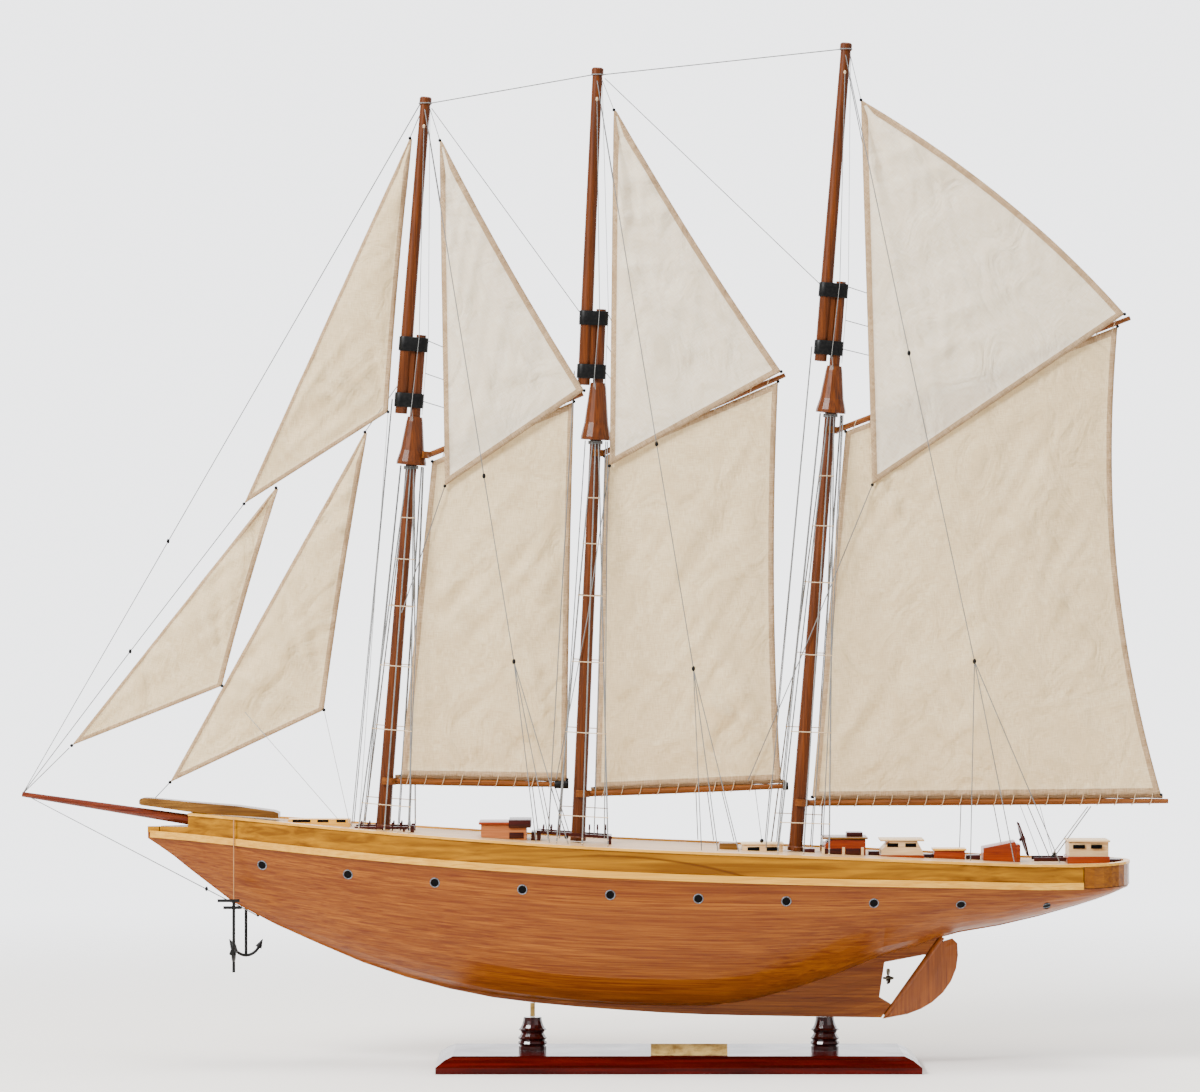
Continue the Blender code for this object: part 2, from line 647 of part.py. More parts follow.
# ---------------------------------------------------------------- sails
def sheet(name, grid, material):
    """A sail as a thin closed sheet over a grid of points (rows may narrow to one point)."""
    builder = bmesh.new()
    rows = [[builder.verts.new(point) for point in row] for row in grid]
    for upper, lower in zip(rows, rows[1:]):
        if len(upper) == 1:
            for a, b in zip(lower, lower[1:]):
                builder.faces.new((upper[0], a, b))
        else:
            for i in range(len(upper) - 1):
                builder.faces.new((upper[i], lower[i], lower[i + 1], upper[i + 1]))
    sail = add_object(name, builder, material)
    solid = sail.modifiers.new("Cloth thickness", "SOLIDIFY")
    solid.thickness = SAIL_THICKNESS
    solid.offset = 0.0
    return sail


def sail_grid(head_luff, head_leech, clew, tack, camber, leech_bow=0.0, rows=7, columns=5):
    """Rows from the head down; camber pushes the cloth to port, leech_bow bows its edge."""
    grid = []
    for i in range(rows + 1):
        v = i / rows
        luff = head_luff.lerp(tack, v)
        leech = head_leech.lerp(clew, v)
        outward = (leech - luff).normalized()
        leech = leech + outward * leech_bow * 4 * v * (1 - v)
        if i == 0 and (head_luff - head_leech).length < 1e-6:
            grid.append([head_luff])
            continue
        row = []
        for j in range(columns + 1):
            u = j / columns
            depth = camber * 4 * u * (1 - u) * math.sin(math.pi * min(v, 1.0))
            row.append(luff.lerp(leech, u) + Vector((0, -depth, 0)))
        grid.append(row)
    return grid


def flat_point(x, z, y=0.0):
    return Vector((x * MM, y * MM, z * MM))


def build_sails(cloth):
    head, tack, clew = flat_point(-159.4, 808), flat_point(-304.9, 489.5), flat_point(-179.4, 569.6)
    sheet("jib_topsail", sail_grid(head, head, clew, tack, 5 * MM, -2 * MM), cloth)
    head, tack, clew = flat_point(-276.0, 503.5), flat_point(-455, 279), flat_point(-324, 331)
    sheet("flying_jib", sail_grid(head, head, clew, tack, 4 * MM, -2 * MM), cloth)
    head, tack, clew = flat_point(-198.6, 552), flat_point(-369.3, 247), flat_point(-235.2, 310)
    sheet("inner_jib", sail_grid(head, head, clew, tack, 5 * MM, -2 * MM), cloth)

    sheet("fore_sail", sail_grid(flat_point(-141.0, 526.5), flat_point(-17.5, 576.0),
                                 flat_point(-23.5, 249.5), flat_point(-168.5, 252.6),
                                 6 * MM, -1.0 * MM), cloth)
    sheet("main_sail", sail_grid(flat_point(9.0, 527.5), flat_point(160.3, 593.5),
                                 flat_point(163.0, 248.2), flat_point(0.5, 241.8),
                                 6 * MM, -5 * MM), cloth)
    sheet("mizzen_sail", sail_grid(flat_point(219.0, 549.5), flat_point(456.0, 641.5),
                                   flat_point(494.0, 236.0), flat_point(190.0, 234.2),
                                   7 * MM, -20 * MM), cloth)
    # the topsails hang to port of the gaffs, their tacks below the jaws
    side = TOPSAIL_OFFSET
    head = flat_point(-133.3, 806, -1.0)
    sheet("fore_topsail", sail_grid(head, head, flat_point(-8.5, 588.0, side),
                                    flat_point(-129.8, 505.0, side), 4 * MM, -3 * MM), cloth)
    head = flat_point(18.3, 832.6, -1.0)
    sheet("main_topsail", sail_grid(head, head, flat_point(162.9, 604.5, side),
                                    flat_point(13.5, 522.5, side), 4 * MM, -3 * MM), cloth)
    head = flat_point(233.4, 841.3, -1.0)
    sheet("mizzen_topsail", sail_grid(head, head, flat_point(461.6, 654.5, side),
                                      flat_point(242.1, 506.0, side), 5 * MM, 12 * MM), cloth)


# ---------------------------------------------------------------- standing rigging
def build_shrouds(name, thread):
    """Port and starboard shrouds with their ratlines, hung from one collar on the mast."""
    direction = mast_axis(name)[1]
    collar_z = MASTS[name]["hounds"][0] * MM - 2.2 * MM
    centre = on_mast(name, collar_z)
    inner = MAST_HOUNDS_RADIUS + GAP + 0.1 * MM
    outer = inner + 4.2 * MM
    builder = bmesh.new()
    rings = []
    for i in range(16):
        angle = math.tau * i / 16
        radial = Vector((math.cos(angle), math.sin(angle), 0))
        radial -= direction * radial.dot(direction)
        radial.normalize()
        rings.append([centre + radial * inner - direction * 0.8 * MM,
                      centre + radial * outer - direction * 0.8 * MM,
                      centre + radial * outer + direction * 0.8 * MM,
                      centre + radial * inner + direction * 0.8 * MM])
    loft(builder, rings + rings[:1], closed_ends=False)
    bmesh.ops.remove_doubles(builder, verts=builder.verts, dist=1e-6)
    bmesh.ops.recalc_face_normals(builder, faces=builder.faces)
    shrouds = add_object(name + "_shrouds", builder, thread, smooth_angle=None)
    foot_x = MASTS[name]["foot"][0] * MM
    for side in (-1, 1):
        net = bmesh.new()
        rows = []
        for share in RATLINE_STEPS:
            row = []
            for i, offset in enumerate(SHROUD_SPREAD):
                x = foot_x + offset * MM
                top = centre + Vector(((i - 1) * 2.6 * MM, side * (outer - 0.9 * MM), 0))
                foot = Vector((x, side * (half_beam(x) - 1.6 * MM),
                               band_top(x) + CAP_THICKNESS + 1.4 * MM))
                row.append(net.verts.new(top.lerp(foot, share)))
            rows.append(row)
        for upper, lower in zip(rows, rows[1:]):
            for a, b, c, d in zip(upper, upper[1:], lower[1:], lower):
                net.faces.new((a, b, c, d) if side > 0 else (d, c, b, a))
        net.normal_update()
        cells = bmesh.ops.inset_individual(net, faces=net.faces[:], thickness=SHROUD_WIDTH,
                                           use_even_offset=True)
        holes = [face for face in net.faces if face not in set(cells["faces"])]
        bmesh.ops.delete(net, geom=holes, context="FACES")
        net.normal_update()
        bmesh.ops.solidify(net, geom=net.faces[:], thickness=2 * SHROUD_WIDTH)
        bmesh.ops.recalc_face_normals(net, faces=net.faces)
        label = "port" if side < 0 else "starboard"
        boolean(shrouds, helper("_".join((name, label, "net")), net), "UNION")
    return shrouds


def thread_curve(name, points, radius, material):
    """A taut thread through its points, as a closed tube."""
    curve = bpy.data.curves.new(name, "CURVE")
    curve.dimensions = "3D"
    curve.bevel_depth = radius
    curve.bevel_resolution = 1
    curve.use_fill_caps = True
    spline = curve.splines.new("POLY")
    spline.points.add(len(points) - 1)
    for spot, point in zip(spline.points, points):
        spot.co = (*point, 1.0)
    item = bpy.data.objects.new(name, curve)
    bpy.context.collection.objects.link(item)
    curve.materials.append(material)
    return item


BACKSTAY_FEET = {"fore": -50.0, "main": 104.0, "mizzen": 352.0}


def build_backstays(name, thread):
    """One thread: port rail, up to the topmast's head, round its aft side, starboard rail."""
    top = MASTS[name]["top"] * MM - 12.0 * MM
    head = on_mast(name, top, -TOPMAST_OFFSET)
    reach = TOPMAST_HEAD_RADIUS + 1.3 * MM
    foot_x = BACKSTAY_FEET[name] * MM
    foot = Vector((foot_x, half_beam(foot_x) - 4.6 * MM, deck_level(foot_x) + 3.4 * MM))
    half_turn = [head + Vector((reach * math.cos(angle), reach * math.sin(angle), 0))
                 for angle in spread(-math.pi / 2, math.pi / 2, 5)]
    points = [Vector((foot.x, -foot.y, foot.z))] + half_turn + [foot]
    return thread_curve(name + "_backstays", points, STAY_RADIUS, thread)


def build_head_stays(thread):
    """One thread: bobstay, outer forestay and the two triatic stays between mastheads."""
    bob_x = -330.0 * MM
    tip_x, tip_z = (value * MM for value in BOWSPRIT_TIP)
    points = [Vector((bob_x - 2.2 * MM, 0, keel_line(bob_x) - 2.6 * MM)),
              Vector((tip_x + 3.0 * MM, 0, tip_z - 4.4 * MM)),
              Vector((tip_x - 1.5 * MM, 0, tip_z - 2.0 * MM)),
              Vector((tip_x - 1.5 * MM, 0, tip_z + 2.0 * MM)),
              Vector((tip_x + 2.0 * MM, 0, tip_z + 5.0 * MM))]
    for name, drop in (("fore", 6.0), ("main", 7.0), ("mizzen", 6.0)):
        head = on_mast(name, (MASTS[name]["top"] - drop) * MM, -TOPMAST_OFFSET)
        points.append(head + Vector((0, -TOPMAST_HEAD_RADIUS - 1.7 * MM, 0)))
    return thread_curve("head_stays", points, STAY_RADIUS, thread)


# ---------------------------------------------------------------- rudder, propeller, wheel
def build_rudder(material):
    """Blade aft of the raked stock; the stock's round front edge turns on the sternpost."""
    foot = Vector((RUDDER_RAKE_FOOT[0] * MM, 0, RUDDER_RAKE_FOOT[1] * MM))
    head = Vector((RUDDER_RAKE_HEAD[0] * MM, 0, RUDDER_RAKE_HEAD[1] * MM))
    along_stock = (head - foot).normalized()
    square_off = Vector((along_stock.z, 0, -along_stock.x))
    hinge = foot + square_off * 2.9 * MM
    outline = [(252.4, 43.0), (258.0, 42.6), (272.6, 45.1), (285.0, 49.8), (294.5, 55.5),
               (304.0, 64.0), (311.0, 74.0), (315.4, 85.0), (317.0, 96.5), (316.4, 107.0),
               (312.0, 111.2)]
    top = hinge + along_stock * ((head - foot).length - 3.0 * MM)
    bottom = hinge + along_stock * 1.0 * MM
    edge = [Vector((x * MM, 0, z * MM)) for x, z in outline[1:]]
    lead = [bottom.lerp(top, share) for share in spread(0, 1, len(edge))]
    rings = []
    for front, back in zip(lead, edge):
        reach = max((back - front).length, 2 * MM)
        direction = (back - front).normalized()
        nose = 1.9 * MM
        rings.append([front - direction * nose * 0.9, front + Vector((0, -nose, 0)),
                      front + direction * reach * 0.5 + Vector((0, -1.7 * MM, 0)),
                      back + Vector((0, -0.7 * MM, 0)), back + Vector((0, 0.7 * MM, 0)),
                      front + direction * reach * 0.5 + Vector((0, 1.7 * MM, 0)),
                      front + Vector((0, nose, 0))])
    builder = bmesh.new()
    loft(builder, [[point - hinge for point in ring] for ring in rings])
    return add_object("rudder", builder, material, location=hinge)


def build_propeller(brass):
    """Three pitched blades on a hub with a nut, on a short shaft out of the sternpost."""
    centre = Vector((PROPELLER_CENTRE[0] * MM, 0, PROPELLER_CENTRE[1] * MM))
    builder = bmesh.new()
    profile = [(-4.6, 1.0), (-2.2, 1.0), (-2.0, 2.1), (1.8, 2.2), (2.6, 1.5), (4.2, 1.1), (5.0, 0.5)]
    loft(builder, [circle((x * MM, 0, 0), (1, 0, 0), radius * MM, 12) for x, radius in profile])
    propeller = add_object("propeller", builder, brass, location=centre)
    blades = bmesh.new()
    for turn in range(3):
        rings = []
        for share in (0.0, 0.25, 0.5, 0.75, 0.92, 1.0):
            radius = 1.6 * MM + (PROPELLER_RADIUS - 1.6 * MM) * share
            chord = (1.5 + 3.6 * math.sin(math.pi * (0.12 + 0.8 * share))) * MM / 2
            pitch = math.radians(62 - 34 * share)
            thick = (0.55 - 0.2 * share) * MM
            edge = Vector((math.cos(pitch), math.sin(pitch), 0))
            face = Vector((-math.sin(pitch), math.cos(pitch), 0))
            middle = Vector((0, 0, radius))
            rings.append([middle - edge * chord, middle + face * thick,
                          middle + edge * chord, middle - face * thick])
        made = loft(blades, rings)
        spin = Matrix.Rotation(math.tau * turn / 3, 4, "X")
        shift = Matrix.Translation(centre) @ spin
        bmesh.ops.transform(blades, matrix=shift, verts=[v for ring in made for v in ring])
    boolean(propeller, helper("propeller_blades", blades), "UNION")
    return propeller


def build_steering_wheel(material):
    """A turned rim on eight spokes that run through it as handles."""
    centre = Vector((WHEEL_CENTRE[0] * MM, 0, WHEEL_CENTRE[1] * MM))
    tilt = Matrix.Rotation(math.pi / 2 - WHEEL_LEAN, 4, "Y")
    rim_radius = WHEEL_RADIUS * 0.72
    builder = bmesh.new()
    rings = []
    for i in range(20):
        angle = math.tau * i / 20
        radial = Vector((math.cos(angle), math.sin(angle), 0))
        up = Vector((0, 0, 1))
        rings.append([radial * (rim_radius + dr * MM) + up * dz * MM
                      for dr, dz in ((-1.2, -0.9), (1.3, -0.9), (1.3, 0.9), (-1.2, 0.9))])
    loft(builder, rings + rings[:1], closed_ends=False)
    bmesh.ops.remove_doubles(builder, verts=builder.verts, dist=1e-6)
    bmesh.ops.recalc_face_normals(builder, faces=builder.faces)
    bmesh.ops.transform(builder, matrix=tilt, verts=builder.verts)
    wheel = add_object("steering_wheel", builder, material, location=centre)
    place = Matrix.Translation(centre) @ tilt
    hub = bmesh.new()
    loft(hub, [circle((0, 0, z * MM), (0, 0, 1), radius * MM, 12)
               for z, radius in ((-3.4, 1.3), (-1.6, 1.3), (-1.5, 3.0), (1.5, 3.0), (2.2, 1.6))])
    bmesh.ops.transform(hub, matrix=place, verts=hub.verts)
    spokes = bmesh.new()
    for i in range(4):
        spin = Matrix.Rotation(math.pi * (i + 0.5) / 4, 4, "Z")
        profile = [(-1.0, 0.5), (-0.9, 0.95), (-0.78, 0.6), (0.0, 0.7), (0.78, 0.6),
                   (0.9, 0.95), (1.0, 0.5)]
        made = loft(spokes, [circle((share * WHEEL_RADIUS, 0, 0.04 * i * MM), (1, 0, 0),
                                    radius * MM, 5) for share, radius in profile])
        bmesh.ops.transform(spokes, matrix=place @ spin, verts=[v for ring in made for v in ring])
    boolean(wheel, helper("wheel_spokes", spokes), "UNION")
    boolean(wheel, helper("wheel_hub", hub), "UNION")
    return wheel


# ---------------------------------------------------------------- anchors
def build_anchor(label, side, x, iron):
    """A stocked anchor on its rope, hung from the rail outside the strake."""
    rail = Vector((x, side * (half_beam(x) + 3.6 * MM), band_top(x) + 1.4 * MM))
    eye = 70.0 * MM
    shank = 41.0 * MM
    builder = bmesh.new()
    loft(builder, [circle((0, 0, z), (0, 0, 1), radius * MM, 8)
                   for z, radius in ((0.0, 0.5), (-eye, 0.5), (-eye - 0.2 * MM, 0.9),
                                     (-eye - 3 * MM, 1.3), (-eye - shank, 1.5),
                                     (-eye - shank - 2 * MM, 0.8))])
    anchor = add_object(label + "_anchor", builder, iron, location=rail)
    bar = bmesh.new()
    loft(bar, [circle((sweep * MM, 0, -eye - 4.5 * MM), (1, 0, 0), radius * MM, 6)
               for sweep, radius in ((-9.0, 0.9), (-8.6, 1.3), (-8.0, 0.8), (0.0, 1.1),
                                     (8.0, 0.8), (8.6, 1.3), (9.0, 0.9))])
    turn_stock = Matrix.Rotation(math.radians(90 if side > 0 else 0), 4, "Z")
    bmesh.ops.transform(bar, matrix=Matrix.Translation(rail) @ turn_stock, verts=bar.verts)
    boolean(anchor, helper(label + "_stock", bar), "UNION")
    arms = bmesh.new()
    arc_radius = 15.0 * MM
    centre = Vector((0, 0, -eye - shank + arc_radius))
    sweep = math.radians(62)
    rings = []
    for angle in spread(-sweep, sweep, 9):
        radial = Vector((math.sin(angle), 0, -math.cos(angle)))
        tangent = Vector((math.cos(angle), 0, math.sin(angle)))
        thick = (1.5 - 0.8 * abs(angle) / sweep) * MM
        rings.append(circle(centre + radial * arc_radius, tangent, thick, 6))
    loft(arms, rings)
    turn_arms = Matrix.Rotation(math.radians(0 if side > 0 else 90), 4, "Z")
    bmesh.ops.transform(arms, matrix=Matrix.Translation(rail) @ turn_arms, verts=arms.verts)
    boolean(anchor, helper(label + "_arms", arms), "UNION")
    for end in (-1, 1):
        palm = bmesh.new()
        angle = end * sweep * 0.86
        radial = Vector((math.sin(angle), 0, -math.cos(angle)))
        tangent = Vector((math.cos(angle), 0, math.sin(angle))) * end
        side_way = Vector((0, 1, 0))
        spot = centre + radial * (arc_radius - 0.9 * MM)
        outline = [(-3.4, 0.0), (-2.0, 3.0), (1.2, 2.4), (3.6, 0.0), (1.2, -2.4), (-2.0, -3.0)]
        rings = [[spot + tangent * a * MM + side_way * b * MM + radial * h * MM
                  for a, b in outline] for h in (-0.55, 0.55)]
        loft(palm, rings)
        bmesh.ops.transform(palm, matrix=Matrix.Translation(rail) @ turn_arms, verts=palm.verts)
        number = "fore" if end < 0 else "aft"
        boolean(anchor, helper("_".join((label, number, "palm")), palm), "UNION")
    return anchor


# ---------------------------------------------------------------- deck furniture
def house(name, stations, material):
    """A deck house: (x, half width, height above the deck at x) sections from bow to stern."""
    rings = []
    for x, half_width, low, high, crown in stations:
        floor = deck_level(x * MM) + GAP + low * MM
        roof = deck_level(x * MM) + GAP + high * MM
        w = half_width * MM
        rings.append([(x * MM, -w, floor), (x * MM, w, floor), (x * MM, w, roof),
                      (x * MM, w * 0.5, roof + crown * MM), (x * MM, -w * 0.5, roof + crown * MM),
                      (x * MM, -w, roof)])
    builder = bmesh.new()
    loft(builder, rings)
    return add_object(name, builder, material, smooth_angle=None)


def build_deck_furniture(red_wood, cream, orange_wood, dark_wood):
    house("fore_cabin", [(-98.0, 20.0, 0, 11.0, 0.8), (-58.5, 20.0, 0, 13.0, 0.8)], cream)
    house("midship_deckhouse", [(200.5, 18.0, 0, 8.0, 0.6), (207.0, 18.0, 0, 12.5, 0.8),
                                (235.5, 18.0, 0, 13.0, 0.8)], orange_wood)
    house("after_deckhouse", [(249.5, 16.0, 0, 5.0, 0.4), (257.0, 16.0, 0, 13.0, 0.6),
                              (281.0, 16.0, 0, 13.2, 0.6), (285.5, 16.0, 0, 5.0, 0.4)], cream)
    house("aft_cabin", [(412.0, 17.0, 0, 17.6, 0.6), (446.5, 15.0, 0, 17.6, 0.6)], cream)
    house("wheel_box", [(338.0, 14.0, 0, 10.6, 0.8), (365.5, 14.0, 0, 17.4, 0.8),
                        (368.0, 13.0, 0, 12.0, 0.4)], orange_wood)
    build_pin_rail(dark_wood)


def build_pin_rail(dark_wood):
    """The fife rail round the main mast: a square ring on four posts."""
    builder = bmesh.new()
    front, back, half_width = -50.0 * MM, 15.5 * MM, 15.0 * MM
    width = 4.0 * MM
    outer = [(front, -half_width), (back, -half_width), (back, half_width), (front, half_width)]
    inner = [(front + width, -half_width + width), (back - width, -half_width + width),
             (back - width, half_width - width), (front + width, half_width - width)]
    top = deck_level(front) + 9.0 * MM

    def level(x, drop):
        return top - (x - front) * 0.075 - drop

    rings = []
    for (ax, ay), (bx, by) in zip(outer, inner):
        rings.append([(ax, ay, level(ax, 2.6 * MM)), (ax, ay, level(ax, 0)),
                      (bx, by, level(bx, 0)), (bx, by, level(bx, 2.6 * MM))])
    loft(builder, rings + rings[:1], closed_ends=False)
    bmesh.ops.remove_doubles(builder, verts=builder.verts, dist=1e-6)
    bmesh.ops.recalc_face_normals(builder, faces=builder.faces)
    rail = add_object("main_pin_rail", builder, dark_wood, smooth_angle=None)
    posts = bmesh.new()
    for x, y in inner:
        px = x - math.copysign(width / 2, x - (front + back) / 2) * -1
        py = y + math.copysign(width / 2, y)
        block(posts, (px - 1.6 * MM, py - 1.6 * MM, deck_level(px) + GAP),
              (px + 1.6 * MM, py + 1.6 * MM, level(px, 1.3 * MM)))
    boolean(rail, helper("pin_rail_posts", posts), "UNION")
    return rail


# ---------------------------------------------------------------- the whole model
def build_model():
    clear_scene()
    hull_wood = make_material("mahogany_planking", (0.46, 0.17, 0.06), 0.32)
    band_wood = make_material("golden_bulwark_wood", (0.5, 0.25, 0.04), 0.35)
    pale_wood = make_material("pale_rail_wood", (0.70, 0.38, 0.14), 0.4)
    stern_wood = make_material("olive_stern_wood", (0.42, 0.24, 0.08), 0.45)
    deck_wood = make_material("deck_planking", (0.62, 0.38, 0.17), 0.5)
    spar_wood = make_material("stained_spar_wood", (0.35, 0.11, 0.03), 0.4)
    dark_wood = make_material("dark_red_wood", (0.13, 0.02, 0.012), 0.35)
    plinth_wood = make_material("lacquered_plinth", (0.10, 0.007, 0.005), 0.12)
    pedestal_wood = make_material("turned_pedestal_wood", (0.08, 0.012, 0.008), 0.25)
    cream_paint = make_material("cream_painted_wood", (0.75, 0.62, 0.45), 0.5)
    brass = make_material("brass", (0.62, 0.43, 0.16), 0.3, 1.0)
    iron = make_material("blackened_iron", (0.012, 0.012, 0.013), 0.45, 0.3)
    sailcloth = make_material("cotton_sailcloth", (0.70, 0.62, 0.48), 0.85)
    thread = make_material("rigging_thread", (0.32, 0.31, 0.29), 0.8)

    build_stand(plinth_wood, pedestal_wood, brass)
    build_hull(hull_wood)
    build_deck(deck_wood)
    build_rails(band_wood, pale_wood, stern_wood)
    build_bowsprit(spar_wood, band_wood)
    for name in MASTS:
        build_mast(name, spar_wood, iron)
        build_shrouds(name, thread)
        build_backstays(name, thread)
    build_head_stays(thread)
    build_spars(spar_wood)
    build_sails(sailcloth)
    build_rudder(stern_wood)
    build_propeller(brass)
    build_steering_wheel(dark_wood)
    build_anchor("port", -1, -311.5 * MM, iron)
    build_anchor("starboard", 1, -305.5 * MM, iron)
    build_deck_furniture(dark_wood, cream_paint, hull_wood, dark_wood)


build_model()
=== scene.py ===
import json
import math

import bmesh
import bpy
import numpy as np
from mathutils import Matrix, Vector, noise
from mathutils.bvhtree import BVHTree


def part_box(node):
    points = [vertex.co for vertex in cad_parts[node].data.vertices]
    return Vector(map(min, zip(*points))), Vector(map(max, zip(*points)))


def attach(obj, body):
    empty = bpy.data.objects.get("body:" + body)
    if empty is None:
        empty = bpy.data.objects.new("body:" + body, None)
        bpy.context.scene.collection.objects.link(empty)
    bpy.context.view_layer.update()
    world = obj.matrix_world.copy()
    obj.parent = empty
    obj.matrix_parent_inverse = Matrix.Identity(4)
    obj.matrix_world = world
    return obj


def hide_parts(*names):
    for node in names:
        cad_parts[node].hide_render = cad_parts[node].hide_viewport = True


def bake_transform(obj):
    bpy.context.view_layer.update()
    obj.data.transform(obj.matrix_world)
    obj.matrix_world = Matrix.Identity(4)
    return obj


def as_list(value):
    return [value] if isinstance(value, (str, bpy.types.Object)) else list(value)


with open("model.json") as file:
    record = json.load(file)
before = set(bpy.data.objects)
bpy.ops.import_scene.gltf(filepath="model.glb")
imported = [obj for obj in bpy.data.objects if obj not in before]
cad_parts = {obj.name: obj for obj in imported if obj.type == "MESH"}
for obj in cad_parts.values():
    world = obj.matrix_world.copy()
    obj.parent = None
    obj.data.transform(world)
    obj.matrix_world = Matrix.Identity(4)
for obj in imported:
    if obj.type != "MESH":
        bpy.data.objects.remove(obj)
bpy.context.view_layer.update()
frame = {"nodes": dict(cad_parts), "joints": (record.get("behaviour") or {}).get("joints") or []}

NODES = frame["nodes"]
MM = 0.001
BASE = "base"


# ---------------------------------------------------------------- camera, floor and light
CAMERA_DISTANCE = 4.0
VIEW_WIDTH = 1.0452
SENSOR = 36.0
FRONT_WALL = 0.5
BACK_WALL = 3.5


def set_camera_and_light():
    """A level camera square to the port side, under soft studio light."""
    scene = bpy.context.scene
    camera = bpy.data.objects.new("camera", bpy.data.cameras.new("camera"))
    camera.data.sensor_width = SENSOR
    camera.data.lens = SENSOR * CAMERA_DISTANCE / VIEW_WIDTH
    camera.data.clip_end = 60.0
    camera.location = (0.0052, -CAMERA_DISTANCE, 0.4528)
    camera.rotation_euler = (math.pi / 2, 0, 0)
    scene.collection.objects.link(camera)
    scene.camera = camera

    studio_walls(scene)
    lights = (("key", (-2.5, -2.2, 2.6), 1.2, 300.0), ("overhead", (0.6, -0.2, 3.0), 2.0, 112.0),
              ("fill", (2.8, -1.8, 0.9), 1.6, 12.0))
    for name, place, size, power in lights:
        lamp = bpy.data.lights.new(name, "AREA")
        lamp.size = size
        lamp.energy = power
        item = bpy.data.objects.new(name, lamp)
        item.location = place
        aim = Vector((0.0, 0.0, 0.35)) - Vector(place)
        item.rotation_euler = aim.to_track_quat("-Z", "Y").to_euler()
        scene.collection.objects.link(item)


def studio_walls(scene):
    """A room whose back wall is brightly lit and whose front, behind the viewer, is dimmer."""
    world = bpy.data.worlds.new("studio")
    world.use_nodes = True
    nodes, links = world.node_tree.nodes, world.node_tree.links
    back = nodes["Background"]
    back.inputs["Color"].default_value = linear("#fbfcff")
    coords = nodes.new("ShaderNodeTexCoord")
    axes = nodes.new("ShaderNodeSeparateXYZ")
    wall = nodes.new("ShaderNodeMapRange")
    wall.interpolation_type = "SMOOTHSTEP"
    for socket, value in (("From Min", 0.25), ("From Max", 0.94), ("To Min", FRONT_WALL),
                          ("To Max", BACK_WALL)):
        wall.inputs[socket].default_value = value
    links.new(coords.outputs["Generated"], axes.inputs[0])
    links.new(axes.outputs["Y"], wall.inputs["Value"])
    links.new(wall.outputs[0], back.inputs["Strength"])
    scene.world = world


def lay_floor():
    """A pale floor that fades into the studio's own white a few metres out."""
    disc = bmesh.new()
    bmesh.ops.create_circle(disc, cap_ends=True, segments=96, radius=9.0)
    floor = mesh_object("studio_floor", disc)
    floor.location.z = -0.0002
    paper = blank_material("matt_white_paper")
    shader = add_node(paper, "BsdfDiffuse", {"Color": linear("#fbf7f0")})
    clear = add_node(paper, "BsdfTransparent")
    coords = add_node(paper, "TexCoord")
    distance = add_node(paper, "VectorMath", {0: coords.outputs["Object"]}, operation="LENGTH")
    fade = add_node(paper, "MapRange", {"Value": distance.outputs["Value"], "From Min": 0.45,
                                        "From Max": 1.9}, interpolation_type="SMOOTHSTEP")
    mix = add_node(paper, "MixShader", {0: fade.outputs[0], 1: shader.outputs[0],
                                        2: clear.outputs[0]})
    add_node(paper, "OutputMaterial", {"Surface": mix.outputs[0]})
    floor.data.materials.append(paper)


# ---------------------------------------------------------------- material helpers
def linear(code):
    """An sRGB hex colour as linear RGBA."""
    values = [int(code[i:i + 2], 16) / 255 for i in (1, 3, 5)]
    return (*[v / 12.92 if v <= 0.04045 else ((v + 0.055) / 1.055) ** 2.4 for v in values], 1.0)


def blank_material(name):
    material = bpy.data.materials.new(name)
    material.use_nodes = True
    material.node_tree.nodes.clear()
    return material


def add_node(material, kind, sockets=None, **settings):
    """Adds one node; a socket is given a value, or another node's output to link.

    A Mix node's sockets are 0 share, 6 and 7 the two colours, and output 2; a MapRange node's
    are 0 value, 1 and 2 the range it comes from, 3 and 4 the range it goes to.
    """
    made = material.node_tree.nodes.new("ShaderNode" + kind)
    for key, value in settings.items():
        setattr(made, key, value)
    for key, value in (sockets or {}).items():
        if isinstance(value, bpy.types.NodeSocket):
            material.node_tree.links.new(value, made.inputs[key])
        else:
            made.inputs[key].default_value = value
    return made


def per_mm(lengths_mm):
    """Mapping scale that makes one pattern unit a given length in millimetres on each axis."""
    return [1000.0 / length for length in lengths_mm]


def close_material(material, colour, roughness, height=None, bump_mm=0.1, **sockets):
    """Ends a material in one Principled shader, with an optional bump."""
    values = {"Base Color": colour, "Roughness": roughness}
    values.update({key.replace("_", " "): value for key, value in sockets.items()})
    if height is not None:
        values["Normal"] = add_node(material, "Bump", {"Height": height, "Strength": 0.6,
                                                       "Distance": bump_mm * MM}).outputs[0]
    shader = add_node(material, "BsdfPrincipled", values)
    add_node(material, "OutputMaterial", {"Surface": shader.outputs[0]})
    return material


